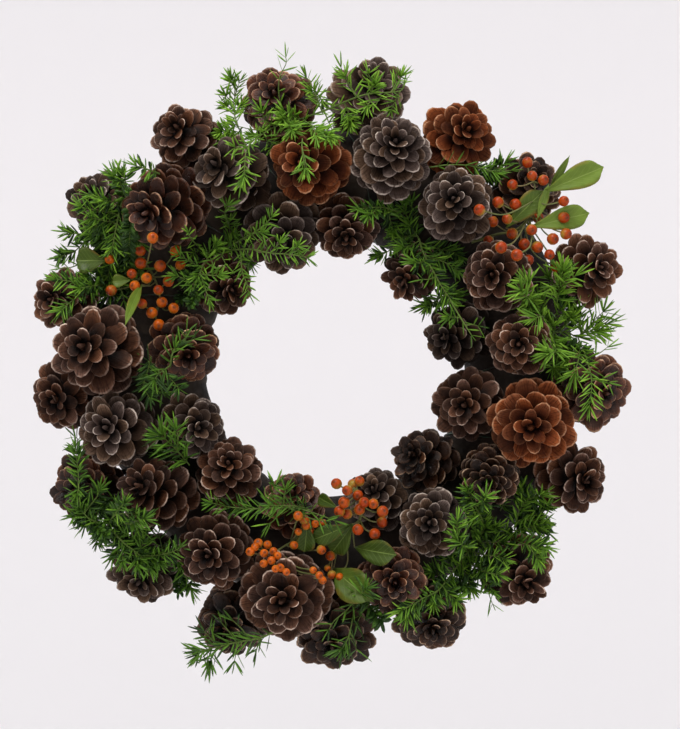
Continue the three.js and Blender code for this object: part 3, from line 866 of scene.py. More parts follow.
        ("wisp", (-112, -122), (-116, -115), (-117, -110)),
        ("feather", (-142, -114), (-145, -121), (-148, -126)),
        ("star", (-142, -116), (-141, -123), (-140, -128)),
        ("star", (-104, -134), (-99, -141), (-96, -147)),
        ("feather", (-130, -122), (-127, -117), (-126, -114)),
        ("star", (-146, -100), (-140, -92), (-136, -88)),
        ("star", (-136, -106), (-129, -100), (-124, -98)),
        ("mat", (-160, -84), (-154, -94), (-148, -102), (-140, -110)),
        ("mat", (-152, -86), (-146, -96), (-138, -102), (-128, -106)),
        ("mat", (-166, -84), (-162, -96), (-158, -106), (-152, -112)),
        ("mat", (-146, -108), (-140, -116), (-132, -120)),
        ("mat", (-106, -132), (-104, -140), (-104, -148)),
    ],
    "green_left": [
        ("star", (-108, 0), (-106, 7), (-104, 12)),
        ("wisp", (-104, 10), (-98, 16), (-96, 22)),
        ("wisp", (-104, 12), (-97, 16), (-91, 18)),
        ("star", (-112, 2), (-115, -4), (-117, -8)),
        ("feather", (-116, -6), (-117, -12), (-116, -17)),
        ("wisp", (-115, -4), (-119, 1), (-122, 4)),
        ("tuft", (-96, -65), (-102, -57), (-108, -50), (-113, -45)),
        ("star", (-97, -62), (-105, -60), (-113, -59)),
        ("star", (-104, -54), (-102, -46), (-103, -41)),
        ("moss", (-129, 2), (-127, -6), (-125, -14), (-122, -20)),
        ("moss", (-113, 0), (-107, -8), (-102, -14)),
    ],
    "green_inner_bottom": [
        ("feather", (-16, -94), (-28, -92), (-40, -92), (-52, -93), (-64, -93), (-76, -92)),
        ("feather", (-34, -92), (-33, -85), (-32, -80)),
        ("wisp", (-28, -92), (-18, -94), (-8, -97), (0, -100)),
        ("wisp", (-36, -94), (-40, -100), (-43, -102)),
        ("feather", (-50, -91), (-60, -92), (-70, -92), (-80, -89)),
        ("feather", (-16, -94), (-24, -91), (-33, -90), (-42, -90)),
        ("star", (-44, -91), (-42, -84), (-39, -78)),
        ("wisp", (-33, -91), (-24, -95), (-14, -99), (-6, -100)),
    ],
}
# how each kind of twig carries its needles, in millimetres and degrees
twigKinds = {
    "burst": {"every": 2.8, "count": (4, 5), "tip": 14,
              "length": (9, 15), "spread": (20, 80), "width": 2.1},
    "star": {"every": 3.8, "count": (2, 3), "tip": 10,
             "length": (9, 16), "spread": (22, 72), "width": 1.75},
    "feather": {"every": 3.4, "count": (2, 3), "tip": 5,
                "length": (9, 15), "spread": (28, 68), "width": 1.6},
    "wisp": {"every": 6.0, "count": (1, 2), "tip": 3,
             "length": (9, 15), "spread": (25, 60), "width": 1.5},
    "tuft": {"every": 3.0, "count": (4, 5), "tip": 14,
             "length": (12, 18), "spread": (30, 85), "width": 2.0},
    "under": {"every": 3.0, "count": (2, 3), "tip": 6,
              "length": (8, 13), "spread": (35, 80), "width": 3.0},
    "mat": {"every": 1.8, "count": (3, 4), "tip": 6,
            "length": (6, 10), "spread": (55, 90), "width": 4.0},
    "moss": {"every": 2.2, "count": (2, 3), "tip": 6,
             "length": (6, 11), "spread": (40, 85), "width": 2.3},
    "bare": {"every": 50, "count": (0, 0), "tip": 0,
             "length": (8, 9), "spread": (40, 50), "width": 1.2},
}
# size of a sprig's needles, how light they are, how far they stand proud in millimetres, and whether a
# second layer of needles fills in behind, in the darkest green as painted shade
sprigLooks = {
    "green_top": (0.74, 0.7, 3, False),
    "green_upper_left": (0.78, 0.56, 1, True),
    "green_inner_top": (0.68, 0.5, 1, False),
    "green_upper_right": (0.76, 0.46, 1, True),
    "green_right": (1.0, 0.70, 2, False),
    "green_lower_right": (0.84, 0.62, 0, True),
    "green_bottom": (0.95, 0.2, 1, False),
    "green_lower_left": (0.8, 0.40, 0, True),
    "green_left": (0.95, 0.26, 3, False),
    "green_inner_bottom": (0.85, 0.28, 6, False),
}
fernForm = {  # millimetres
    "stemRadius": (0.75, 0.6, 0.35),   # of a sprig's main stems, from base to tip
    "mainStems": 2,           # how many of its twigs those are
    "sideStems": 0.7,         # thickness of the others, as a share
    "stemStep": 1.5,
    "standOff": 4.0,
    "lift": (1.5, 6.0),       # how much further out a twig's tip stands
    "joinWithin": 9.0,        # a twig that starts this close to another grows from it
    "comesFrom": 9.0,         # depth from which the others come out between the cones
    "behind": 3.0,            # how far behind a twig its older needles stand
}
fillers = {  # twigs in the gaps, in the darkest green as painted shade there: how far ahead they stand, and the depth they come from
    "mat": {"ahead": -8.0, "depth": 9.0},
    "moss": {"ahead": 4.0, "depth": 0.0},
}
needleForm = {
    "stations": (0, 0.22, 0.5, 0.78, 1),   # along a needle, which is one unit long and wide
    "halfWidth": (0.22, 0.42, 0.5, 0.42, 0.06),
    "flat": 0.35,
    "bends": (-0.3, -0.08, 0.12, 0.26, 0.42),
    "width": (0.75, 1.15),    # as shares of its twig's kind
    "tone": 0.18,             # how much the needles of a twig differ
    "twist": 0.7,             # how far a needle's flat face turns from the front
    "backwards": 0.15,        # needles that point back more than this are turned outwards
    "around": (-0.35, 1.0),   # where they sit, in radians from the side of the stem to its front
    "tipSpread": 5,           # the least angle between a twig's tip and the needles on it
}


def needleTemplate(bend):
    form = needleForm
    bm = newShape()
    points = [Vector((x, 0, bend * x * x)) for x in form["stations"]]
    tubeAlong(bm, points, form["halfWidth"], sides=3, flat=form["flat"], side=Vector((0, 1, 0)))
    bmesh.ops.recalc_face_normals(bm, faces=bm.faces)
    return asMesh("needle", bm)


def addNeedle(bm, templates, dice, place, stem, kind, turn, spread, look):
    # a needle leaves its stem at an angle, and turns its flat face mostly to the front
    side = stem.cross(frontAxis).normalized()
    out = side * math.cos(turn) + side.cross(stem).normalized() * math.sin(turn)
    along = stem * math.cos(spread) + out * math.sin(spread)
    if along.dot(frontAxis) < -needleForm["backwards"]:
        along = (along - frontAxis * (along.dot(frontAxis) + 0.1)).normalized()
    up = (frontAxis + needleForm["twist"] * jitter(dice, 1)).normalized()
    size, tone = look
    width = kind["width"] * dice.uniform(*needleForm["width"]) * mm * math.sqrt(size)
    length = dice.uniform(*kind["length"]) * mm * size
    addCopy(bm, dice.choice(templates), framed(place, along, up, (length, width, width)),
            dice.gauss(tone, needleForm["tone"]))


def dressTwig(bm, templates, dice, points, kind, look):
    step = (points[1] - points[0]).length
    gap = max(1, round(kind["every"] * mm / step))
    hand = 1
    for index in range(gap, len(points), gap):
        stem = neighbourDirection(points, index)
        for _ in range(dice.randint(*kind["count"])):
            hand = -hand
            turn = dice.uniform(*needleForm["around"])
            turn = turn if hand > 0 else math.pi - turn
            addNeedle(bm, templates, dice, points[index], stem, kind, turn,
                      math.radians(dice.uniform(*kind["spread"])), look)
    stem = (points[-1] - points[-2]).normalized()
    for index in range(kind["tip"]):
        turn = math.tau * (index + dice.uniform(-0.4, 0.4)) / kind["tip"]
        addNeedle(bm, templates, dice, points[-1], stem, kind, turn,
                  math.radians(dice.uniform(needleForm["tipSpread"], kind["spread"][1])), look)


def twigPath(points, known, dice, depth):
    # a twig lies on the cones, starts at the nearest stem, and its tip lifts a little
    form = fernForm
    path = drape(points, form["standOff"], form["stemStep"])
    near = min(known, key=lambda point: (point - path[0]).xz.length) if known else None
    if near and (near - path[0]).xz.length < form["joinWithin"] * mm:
        start = near - path[0]
    else:
        start = Vector((0, depth * mm, 0))
    lift = dice.uniform(*form["lift"]) * mm
    for index, point in enumerate(path):
        share = index / (len(path) - 1)
        path[index] = point + start * (1 - smoothStep(share, 0, 0.7)) + frontAxis * lift * share * share
    return path


def growFern(name, twigs, seed, templates):
    dice = random.Random(seed)
    stems, needles = newShape(), newShape()
    known = []
    size, tone, proud, shadedUnderLayer = sprigLooks[name]
    for number, (kindName, *points) in enumerate(twigs):
        kind = twigKinds[kindName]
        filler = fillers.get(kindName, {})
        ahead = filler.get("ahead", proud)
        depth = filler.get("depth", fernForm["comesFrom"])
        path = [point + frontAxis * ahead * mm for point in twigPath(points, known, dice, depth)]
        thick = 1.0 if number < fernForm["mainStems"] else fernForm["sideStems"]
        tubeAlong(stems, path, [radius * thick * mm for radius in fernForm["stemRadius"]], 5,
                  dice.uniform(0.3, 0.7))
        # fillers take the darkest green, painted shade for the gaps between the cones
        dressTwig(needles, templates, dice, path, kind, (size, 0.0 if filler else tone))
        if shadedUnderLayer and kindName in ("burst", "star", "feather"):
            # a second layer of needles fills in behind, in the darkest green: painted shade under the
            # front ones
            behind = [point - frontAxis * fernForm["behind"] * mm for point in path]
            dressTwig(needles, templates, dice, behind[:-2], twigKinds["under"], (size, 0.0))
        known += [point - frontAxis * ahead * mm for point in path]
    bmesh.ops.recalc_face_normals(stems, faces=stems.faces)
    for label, bm, material in (("_stems", stems, stemGreen), ("_needles", needles, needleGreen)):
        addPiece(name + label, asMesh(name + label, bm), material, [name])


greenLooks = {
    "needleGreen": {
        "dark": (0.014, 0.040, 0.004), "middle": (0.072, 0.170, 0.010),
        "light": (0.190, 0.360, 0.025), "rough": 0.55, "shine": 0.25,
    },
    "stemGreen": {
        "dark": (0.030, 0.050, 0.010), "middle": (0.075, 0.120, 0.020),
        "light": (0.130, 0.170, 0.040), "rough": 0.6, "shine": 0.2,
    },
    "twigGreen": {
        "dark": (0.060, 0.075, 0.020), "middle": (0.110, 0.120, 0.035),
        "light": (0.160, 0.100, 0.045), "rough": 0.6, "shine": 0.3,
    },
}


def leafyMaterial(name, look):
    material, tree, shader = newMaterial(name)
    tone, reach = attributeOf(tree, "tone"), attributeOf(tree, "reach")
    patch = noiseOf(tree, 160, 3)
    shade = mathNode(tree, "ADD", tone, multiply(tree, patch, 0.6))
    colour = mixColour(tree, rangeNode(tree, shade, 0.25, 0.7), look["dark"], look["middle"])
    # the lightest ones are lightest towards their tips
    tips = rangeNode(tree, reach, 0.1, 0.7, 0.3, 1.0)
    young = multiply(tree, rangeNode(tree, shade, 0.7, 1.3), tips)
    colour = mixColour(tree, young, colour, look["light"])
    roughness = rangeNode(tree, patch, 0.3, 0.7, look["rough"] - 0.08, look["rough"] + 0.1)
    finishShader(tree, shader, colour, roughness, bumpOf(tree, noiseOf(tree, 900, 2), 0.3, 0.0003),
                 look["shine"])
    return material


needleGreen, stemGreen, twigGreen = (leafyMaterial(name, look) for name, look in greenLooks.items())
needleTemplates = [needleTemplate(bend) for bend in needleForm["bends"]]
for number, (name, twigs) in enumerate(sprigTwigs.items()):
    growFern(name, twigs, 300 + number, needleTemplates)
print("greenery grown:", len(sprigTwigs))


# berry sprigs

# places are across and up from the wreath's centre, in millimetres; a smaller berry has its size
# as a third number, and a leaf has its ends, its width, its tone and sometimes its outline
berrySprigs = {
    "berries_left": {
        "twig": [(-150, 88), (-134, 76), (-124, 64), (-118, 48), (-121, 34)],
        "berries": [
            (-117, 83), (-106, 77), (-129, 77), (-150, 72, 0.95), (-129, 69), (-116, 67),
            (-103, 68), (-135, 62), (-125, 59), (-111, 57), (-133, 54), (-117, 51), (-149, 51),
            (-115, 43), (-107, 39), (-122, 36), (-117, 28), (-128, 42),
        ],
        "ripeness": 1.0, "proud": 9,
        "leaves": [
            ((-152, 71), (-173, 71), 18, 0.14), ((-136, 58), (-149, 57), 9, 0.35),
            ((-129, 55), (-135, 26), 7, 0.45, 0.5, 1.0), ((-132, 74), (-147, 87), 7, 0.3, 0.5, 1.0),
        ],
    },
    "berries_right": {
        "twig": [(92, 84), (108, 89), (122, 92), (132, 106), (131, 122)],
        "berries": [
            (127, 135), (129, 125), (136, 122), (117, 120), (107, 108), (119, 107), (93, 101),
            (135, 99), (149, 108), (150, 98), (104, 96), (113, 97), (117, 88), (129, 90), (151, 87),
            (102, 84), (143, 84), (107, 77), (125, 81), (133, 79), (117, 72), (128, 71), (141, 74),
            (146, 66),
        ],
        "ripeness": 0.4, "proud": 3,
        "leaves": [
            ((137, 115), (176, 131), 17, 0.6), ((128, 92), (167, 101), 16, 0.55),
            ((113, 92), (137, 116), 15, 0.2), ((133, 97), (141, 121), 6, 0.5, 0.5, 1.0),
            ((141, 116), (154, 139), 5, 0.4, 0.5, 1.0),
        ],
    },
    "berries_bottom": {
        "twig": [(14, -80), (18, -94), (10, -110), (-8, -112), (-26, -115), (-40, -122)],
        "berries": [
            (1, -76), (16, -75), (8, -80), (15, -84), (6, -88), (16, -93), (8, -96), (25, -89),
            (31, -94), (31, -102), (26, -109), (15, -106), (12, -78), (3, -94), (19, -88),
            (-20, -100, 0.85), (-24, -97, 0.8), (-9, -120, 0.9), (-3, -125, 0.9),
            (-19, -104, 0.75), (-13, -103, 0.7), (-8, -103, 0.7), (-16, -108, 0.75),
            (-24, -108, 0.7), (-50, -115, 0.8), (-55, -120, 0.75), (-52, -117, 0.7),
            (-44, -116, 0.75), (-40, -120, 0.7), (-46, -121, 0.75), (-41, -125, 0.75),
            (-46, -127, 0.7), (-37, -122, 0.65), (-35, -129, 0.8), (-31, -131, 0.7),
            (-38, -129, 0.7), (-27, -117, 0.75), (-14, -131, 0.7), (-10, -134, 0.75),
            (-8, -138, 0.7), (-2, -137, 0.75), (3, -138, 0.7), (-5, -133, 0.65),
        ],
        "ripeness": 0.5, "proud": 3,
        "leaves": [
            ((11, -103), (-15, -114), 13, 0.12), ((12, -103), (-2, -123), 15, 0.08),
            ((-18, -102), (-20, -122), 13, 0.0), ((13, -119), (40, -122), 17, 0.02),
            ((-1, -134), (26, -153), 23, 0.17, 0.55, 1.2), ((2, -92), (-11, -86), 9, 0.1),
        ],
    },
}
berryForm = {  # millimetres
    "radius": 3.9,
    "standOff": 6.0,
    "stagger": 3.0,        # every third berry stands this much prouder, and the next one twice that
    "twigStandOff": 5.0,
    "leafStandOff": 4.0,
    "twigRadius": (1.0, 0.9, 0.6),
    "stalkRadius": (0.6, 0.5, 0.6),
    "leafStalkRadius": (0.6, 0.5, 0.45),
    "stalkSag": 0.12,      # as a share of its length
    "sizes": (0.88, 1.04),  # how much the berries differ
    "tilt": 0.25,          # how unevenly the berries face
    "seeds": (21, 22, 23),
}
berryShape = {  # one unit in radius
    "squash": (0.95, 1.04),
    "swell": (-0.05, 0.05),
    "crownDimple": 0.13,
    "stalkDimple": 0.06,
}
leafForm = {  # shares of a leaf's length or width
    "fold": (0.12, 0.24),
    "arch": (0.05, 0.1),
    "curl": (-0.1, 0.1),
    "ripple": 0.04,
    "tone": 0.08,
    "thickness": 0.5,      # millimetres
}


def berryTemplate(seed):
    # Z runs to the blossom end, where a small dark crown sits in a dimple
    dice = random.Random(seed)
    bm = newShape()
    bmesh.ops.create_uvsphere(bm, u_segments=12, v_segments=9, radius=1)
    squash, swell = (dice.uniform(*berryShape[key]) for key in ("squash", "swell"))
    for vert in bm.verts:
        height = vert.co.z
        vert.co.x *= 1 + swell * height
        vert.co.y *= 1 + swell * height
        vert.co.z *= squash
        if height > 0.999:
            vert.co.z -= berryShape["crownDimple"]
        elif height < -0.999:
            vert.co.z += berryShape["stalkDimple"]
        mark(bm, [vert], rim=smoothStep(height, 0.9, 1.0), reach=(height + 1) / 2)
    return asMesh("berry", bm)


def leafShape(bm, base, tip, width, tone, dice, broadest=0.7, sharpness=0.5):
    # a leathery oval leaf, folded a little along its midrib and arched along its length
    form = leafForm
    along = tip - base
    part = newShape()
    partUv = part.loops.layers.uv.verify()
    bmesh.ops.create_grid(part, x_segments=14, y_segments=6, size=1)
    fold, arch, curl = (dice.uniform(*form[key]) for key in ("fold", "arch", "curl"))
    for face in part.faces:
        for loop in face.loops:
            loop[partUv].uv = ((loop.vert.co.x + 1) / 2, (loop.vert.co.y + 1) / 2)
    for vert in part.verts:
        u, v = math.sin((vert.co.x + 1) * math.pi / 4), vert.co.y
        if u < broadest:
            half = smoothStep(u, -0.12, broadest) * width / 2
        else:
            half = max(1 - ((u - broadest) / (1 - broadest)) ** 2, 0.004) ** sharpness * width / 2
        mark(part, [vert], rim=smoothStep(abs(v), 0.75, 1), reach=u)
        ripple = form["ripple"] * width * math.sin(u * 9 + v) * abs(v)
        x = along.length * (u - 0.05 * v * v * smoothStep(u, 0.8, 1))
        z = fold * abs(v) * half * 2 + arch * along.length * math.sin(math.pi * u)
        vert.co = (x, half * v, z + curl * v * half + ripple)
    made = bmesh.ops.extrude_face_region(part, geom=list(part.faces))["geom"]
    bmesh.ops.translate(part, verts=onlyVerts(made), vec=(0, 0, -form["thickness"] * mm))
    bmesh.ops.recalc_face_normals(part, faces=part.faces)
    bmesh.ops.transform(part, verts=part.verts, matrix=framed(base, along, frontAxis))
    mark(part, part.verts, tone=tone + dice.uniform(-form["tone"], form["tone"]))
    bm.from_mesh(asMesh("leaf", part))


def growBerrySprig(name, sprig, seed, templates):
    form = berryForm
    dice = random.Random(seed)
    berries, twigs, leaves = newShape(), newShape(), newShape()
    mainTwig = drape(sprig["twig"], form["twigStandOff"])
    tubeAlong(twigs, mainTwig, [thick * mm for thick in form["twigRadius"]], 6, 0.5)

    def nearest(place):
        return min(mainTwig, key=lambda point: (point - place).length)

    def inFront(x, z, standOff):
        near = nearest(onWreath(x, z, -60 * mm))
        return onWreath(x, z, frontAt(x, z, near.y) - standOff * mm)

    def addStalk(to, radii):
        start = nearest(to)
        span = (to - start).length
        sag = form["stalkSag"]
        middle = start.lerp(to, 0.5) + Vector((dice.gauss(0, 0.5 * sag), 0.5 * sag, -sag)) * span
        tubeAlong(twigs, smoothPath([start, middle, to], 2.0 * mm), [thick * mm for thick in radii],
                  5, dice.uniform(0.2, 0.8))
        return (to - middle).normalized()

    for index, (x, z, *given) in enumerate(sprig["berries"]):
        size = given[0] if given else 1
        centre = inFront(x, z, form["standOff"] + sprig["proud"] + form["stagger"] * (index % 3))
        away = addStalk(centre, form["stalkRadius"])
        facing = (away + frontAxis * 0.5 + jitter(dice, form["tilt"])).normalized()
        radius = form["radius"] * size * dice.uniform(*form["sizes"]) * mm
        # smaller berries are less ripe
        addCopy(berries, dice.choice(templates),
                framed(centre, facing.orthogonal(), facing, (radius, radius, radius)),
                dice.random() * sprig["ripeness"] + 2 * (1 - size))
    for start, end, width, tone, *outline in sprig["leaves"]:
        standOff = form["leafStandOff"] + sprig["proud"]
        base, tip = inFront(*start, standOff), inFront(*end, standOff)
        leafShape(leaves, base, tip, width * mm, tone, dice, *outline)
        addStalk(base, form["leafStalkRadius"])
    bmesh.ops.recalc_face_normals(twigs, faces=twigs.faces)
    for label, bm, material, slotName in (
        ("_berries", berries, berryOrange, "berry_orange"),
        ("_twigs", twigs, twigGreen, "twig_green"),
        ("_leaves", leaves, leafGreen, "leaf_green"),
    ):
        addPiece(name + label, asMesh(name + label, bm), material, [name])


berryLook = {
    "red": (0.28, 0.030, 0.002), "orange": (0.46, 0.088, 0.003), "blush": (0.14, 0.020, 0.004),
    "unripe": (0.27, 0.21, 0.030), "crown": (0.05, 0.02, 0.008),
    "rough": (0.26, 0.42), "shine": 0.16,
    "depth": 0.12, "depthRadius": (0.003, 0.001, 0.0005), "depthScale": 0.5,  # light under the skin
}
leafLook = {
    "dark": (0.022, 0.040, 0.003), "light": (0.150, 0.225, 0.030),
    "vein": (0.19, 0.26, 0.06), "edge": (0.22, 0.10, 0.02),
    "rough": (0.34, 0.5), "shine": 0.15,
}


def berryMaterial(look):
    material, tree, shader = newMaterial("berryOrange")
    tone, rim, reach = (attributeOf(tree, key) for key in ("tone", "rim", "reach"))
    patch = noiseOf(tree, 130, 2)
    colour = mixColour(tree, rangeNode(tree, tone, 0.1, 0.9), look["red"], look["orange"])
    blush = rangeNode(tree, noiseOf(tree, 420, 3), 0.5, 0.68, 0.0, 0.55)
    colour = mixColour(tree, blush, colour, look["blush"])
    # unripe patches lie towards the stalk, and the crown is dark
    pale = multiply(tree, rangeNode(tree, patch, 0.42, 0.62), rangeNode(tree, reach, 0.95, 0.35))
    colour = mixColour(tree, multiply(tree, pale, 0.8), colour, look["unripe"])
    colour = mixColour(tree, rim, colour, look["crown"])
    finishShader(tree, shader, colour, rangeNode(tree, noiseOf(tree, 700, 2), 0.3, 0.7, *look["rough"]),
                 bumpOf(tree, noiseOf(tree, 500, 3), 0.25, 0.0004), look["shine"])
    shader.inputs["Subsurface Weight"].default_value = look["depth"]
    shader.inputs["Subsurface Radius"].default_value = look["depthRadius"]
    shader.inputs["Subsurface Scale"].default_value = look["depthScale"]
    return material


def leafMaterial(look):
    material, tree, shader = newMaterial("leafGreen")
    tone, rim = attributeOf(tree, "tone"), attributeOf(tree, "rim")
    coordinates = addNode(tree, "ShaderNodeTexCoord")
    split = addNode(tree, "ShaderNodeSeparateXYZ")
    tree.links.new(coordinates.outputs["UV"], split.inputs[0])
    along, side = split.outputs[0], split.outputs[1]
    # a midrib, and side veins that slant towards the tip
    across = mathNode(tree, "ABSOLUTE", mathNode(tree, "SUBTRACT", side, 0.5))
    slant = mathNode(tree, "SUBTRACT", multiply(tree, along, 9.0), multiply(tree, across, 5.0))
    ribs = mathNode(tree, "ABSOLUTE", mathNode(tree, "SUBTRACT", mathNode(tree, "FRACT", slant), 0.5))
    veins = mathNode(tree, "MAXIMUM", rangeNode(tree, across, 0.035, 0.0),
                     multiply(tree, rangeNode(tree, ribs, 0.08, 0.0), 0.45))
    patch = noiseOf(tree, 120, 3)
    shade = mathNode(tree, "ADD", tone, multiply(tree, patch, 0.4))
    colour = mixColour(tree, rangeNode(tree, shade, 0.1, 1.2), look["dark"], look["light"])
    colour = mixColour(tree, multiply(tree, veins, 0.6), colour, look["vein"])
    edge = multiply(tree, rim, rangeNode(tree, noiseOf(tree, 90, 2), 0.4, 0.65))
    colour = mixColour(tree, multiply(tree, edge, 0.5), colour, look["edge"])
    height = mathNode(tree, "SUBTRACT", patch, veins)
    finishShader(tree, shader, colour, rangeNode(tree, patch, 0.3, 0.7, *look["rough"]),
                 bumpOf(tree, height, 0.35, 0.0006), look["shine"])
    return material


berryOrange = berryMaterial(berryLook)
leafGreen = leafMaterial(leafLook)
berryTemplates = [berryTemplate(seed) for seed in berryForm["seeds"]]
for number, (name, sprig) in enumerate(berrySprigs.items()):
    growBerrySprig(name, sprig, 400 + number, berryTemplates)
print("berry sprigs grown:", len(berrySprigs))


# ring and hanging loop

ringForm = {  # lengths in millimetres
    "steps": 336,
    "domeSteps": 18,
    "flatSteps": 6,
    "middle": 0.4,        # height of the section's middle over the back, as a share of its depth
    "wraps": 28,          # turns of tape round the ring's section
    "overlap": 1.1,       # how far a turn stands up from the last
    "ramp": 0.9,          # share of a wrap over which it sinks to the next
    "slant": 1.0,         # wraps that a turn of tape slants over
    "edge": 0.93,         # where across a wrap its worn edge lies,
    "edgeWidth": 0.12,    # and how wide it is
    "toneSpread": 0.35,
    "wireTurns": 14,
    "wireSteps": 3,       # for each corner of the section
    "wireRadius": 0.45,
    "wireSink": 0.2,      # how deep the wire presses into the tape
    "wireMiddle": 12.0,   # height over the back of the point that it presses towards
    "wireOffBack": 0.5,
}
ringRadius = 127 * mm  # to the middle of its section
loopForm = {  # millimetres
    "eyeRadius": 6.0,
    "wireRadius": 0.9,
    "twistRadius": 1.0,
    "twistTurns": 5.5,
    "legSteps": 36,
    "legBottom": -28.0,
    "legTop": 1.02,        # radii of the eye below its centre
    "eyeSteps": 24,
    "eyeStart": -80,       # degrees, and how far it goes round
    "eyeTurn": 340,
}


def ringSection():
    # distance from the wreath's centre and depth, round the dome and back across the flat
    halfWidth = (ringHigh.x - ringLow.x) / 2 - ringRadius
    depth = backY - ringLow.y
    section = []
    for step in range(ringForm["domeSteps"] + 1):
        angle = math.pi * step / ringForm["domeSteps"]
        section.append(Vector((ringRadius + halfWidth * math.cos(angle),
                               backY - depth * math.sin(angle))))
    outer, inner = section[0].x, section[-1].x
    for step in range(1, ringForm["flatSteps"]):
        section.append(Vector((inner + (outer - inner) * step / ringForm["flatSteps"], backY)))
    return section


def growRing():
    form = ringForm
    bm = newShape()
    section = ringSection()
    centre = onWreath(0, 0)
    verts = [bm.verts.new((centre.x + point.x, point.y, centre.z)) for point in section]
    edges = [bm.edges.new(pair) for pair in zip(verts, verts[1:] + verts[:1])]
    bmesh.ops.spin(bm, geom=verts + edges, cent=centre, axis=(0, 1, 0), angle=math.tau,
                   steps=form["steps"], use_merge=True)
    bmesh.ops.remove_doubles(bm, verts=bm.verts, dist=1e-6)
    middle = Vector((ringRadius, backY - form["middle"] * (backY - ringLow.y)))
    for vert in bm.verts:
        offset = vert.co - centre
        turn = math.atan2(offset.z, offset.x) / math.tau
        away = Vector((math.hypot(offset.x, offset.z), vert.co.y)) - middle
        around = math.atan2(away.y, away.x) / math.tau
        turns = turn * form["wraps"] + around * form["slant"]
        wrap = turns % 1
        ramp = form["ramp"]
        sink = form["overlap"] * mm * smoothStep(wrap, 0.0, ramp) * (1 - smoothStep(wrap, ramp, 1.0))
        mark(bm, [vert], rim=1 - smoothStep(abs(wrap - form["edge"]), 0.0, form["edgeWidth"]),
             reach=wrap, tone=0.5 + form["toneSpread"] * math.sin(int(turns) * 2.3))
        shift = away.normalized() * (form["overlap"] * mm - sink)
        outwards = Vector((offset.x, 0, offset.z)).normalized()
        onBack = vert.co.y > backY - 1e-5  # the back stays inside the flat, where it meets the wall
        vert.co -= outwards * shift.x
        vert.co.y -= abs(shift.y) * 0.3 if onBack else shift.y
    bmesh.ops.recalc_face_normals(bm, faces=bm.faces)
    return asMesh("ring", bm)


def growWire():
    # thin binding wire wound round the taped ring
    form = ringForm
    bm = newShape()
    section = ringSection()
    count = form["wireTurns"] * len(section) * form["wireSteps"]
    middle = Vector((ringRadius, backY - form["wireMiddle"] * mm))
    points = []
    for index in range(count + 1):
        share = index / count
        spot = (share * form["wireTurns"] * len(section)) % len(section)
        near, far = section[int(spot)], section[(int(spot) + 1) % len(section)]
        place = near.lerp(far, spot - int(spot))
        inward = (middle - place).normalized() * form["wireSink"] * mm
        angle = math.tau * share
        distance = place.x + inward.x
        points.append(onWreath(0, 0, min(place.y + inward.y, backY - form["wireOffBack"] * mm))
                      + Vector((distance * math.sin(angle), 0, distance * math.cos(angle))))
    tubeAlong(bm, points, (form["wireRadius"] * mm, form["wireRadius"] * mm), 5)
    bmesh.ops.recalc_face_normals(bm, faces=bm.faces)
    return asMesh("bindingWire", bm)


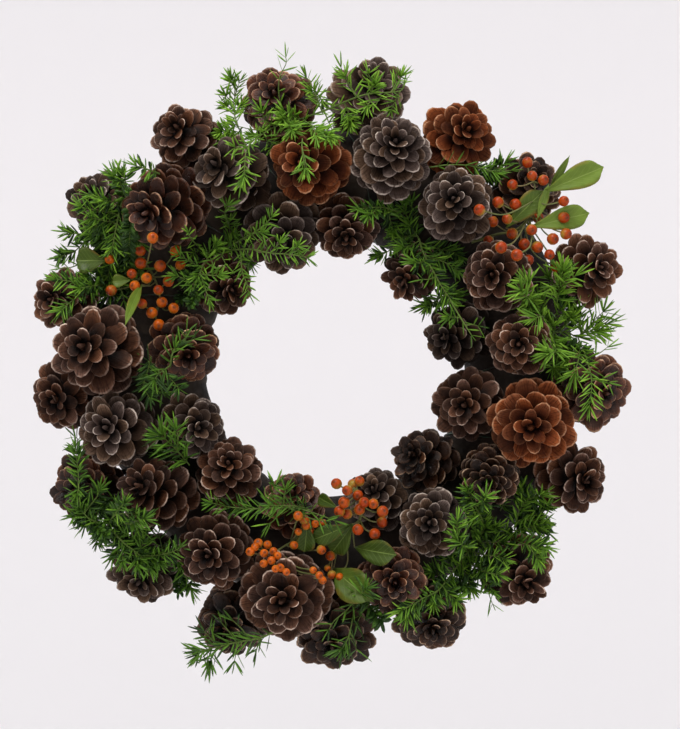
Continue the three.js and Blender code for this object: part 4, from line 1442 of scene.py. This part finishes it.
def growLoop():
    form = loopForm
    bm = newShape()
    eyeCentre = Vector((0, 0, (1 - form["eyeRadius"]) * mm))
    legTop = eyeCentre.z - form["legTop"] * form["eyeRadius"] * mm
    legBottom = form["legBottom"] * mm

    def twistedLeg(side):
        leg = []
        for step in range(form["legSteps"] + 1):
            share = step / form["legSteps"]
            angle = math.tau * form["twistTurns"] * share
            wide = side * form["twistRadius"] * mm
            leg.append(Vector((wide * math.cos(angle), wide * math.sin(angle),
                               legTop + (legBottom - legTop) * share)))
        return leg

    eye = []
    for step in range(1, form["eyeSteps"]):
        angle = math.radians(form["eyeStart"] + form["eyeTurn"] * step / form["eyeSteps"])
        eye.append(eyeCentre + Vector((math.cos(angle), 0, math.sin(angle))) * form["eyeRadius"] * mm)
    path = twistedLeg(1)[::-1] + eye + twistedLeg(-1)
    tubeAlong(bm, path, (form["wireRadius"] * mm, form["wireRadius"] * mm), 8)
    bmesh.ops.recalc_face_normals(bm, faces=bm.faces)
    return asMesh("hangingLoop", bm)


# the tape's own dark brown, darkened further as painted shade where it shows between the cones
tapeAndShadeLook = {
    "dark": (0.007, 0.005, 0.004), "light": (0.022, 0.014, 0.009), "worn": (0.048, 0.034, 0.024),
    "rough": (0.7, 0.92), "shine": 0.2,
}
wireLooks = {
    "bindingGreen": {"colour": (0.02, 0.05, 0.025), "worn": (0.06, 0.055, 0.05), "metallic": 0.6},
    "loopSteel": {"colour": (0.42, 0.41, 0.39), "worn": (0.20, 0.17, 0.15), "metallic": 1.0},
}


def tapeMaterial(look):
    material, tree, shader = newMaterial("tapeBrown")
    tone, rim = attributeOf(tree, "tone"), attributeOf(tree, "rim")
    crinkle = noiseOf(tree, 260, 5)
    fold = noiseOf(tree, 40, 3)
    shade = mathNode(tree, "ADD", multiply(tree, tone, 0.6), fold)
    colour = mixColour(tree, rangeNode(tree, shade, 0.5, 1.1), look["dark"], look["light"])
    edge = multiply(tree, rim, rangeNode(tree, crinkle, 0.35, 0.65, 0.2, 0.8))
    finishShader(tree, shader, mixColour(tree, edge, colour, look["worn"]),
                 rangeNode(tree, crinkle, 0.3, 0.7, *look["rough"]),
                 bumpOf(tree, mathNode(tree, "ADD", crinkle, fold), 0.6, 0.001), look["shine"])
    return material


def wireMaterial(name, look):
    material, tree, shader = newMaterial(name)
    patch = noiseOf(tree, 300, 4)
    colour = mixColour(tree, rangeNode(tree, patch, 0.4, 0.65), look["colour"], look["worn"])
    finishShader(tree, shader, colour, rangeNode(tree, patch, 0.3, 0.7, 0.28, 0.5),
                 bumpOf(tree, patch, 0.2, 0.0003))
    shader.inputs["Metallic"].default_value = look["metallic"]
    return material


bindingGreen, loopSteel = (wireMaterial(name, look) for name, look in wireLooks.items())
addPiece("taped_ring", growRing(), tapeMaterial(tapeAndShadeLook), ["base_ring"])
addPiece("binding_wire", growWire(), bindingGreen, ["base_ring"])
addPiece("wire_loop", growLoop(), loopSteel, ["hanging_loop"])
print("ring and loop made")
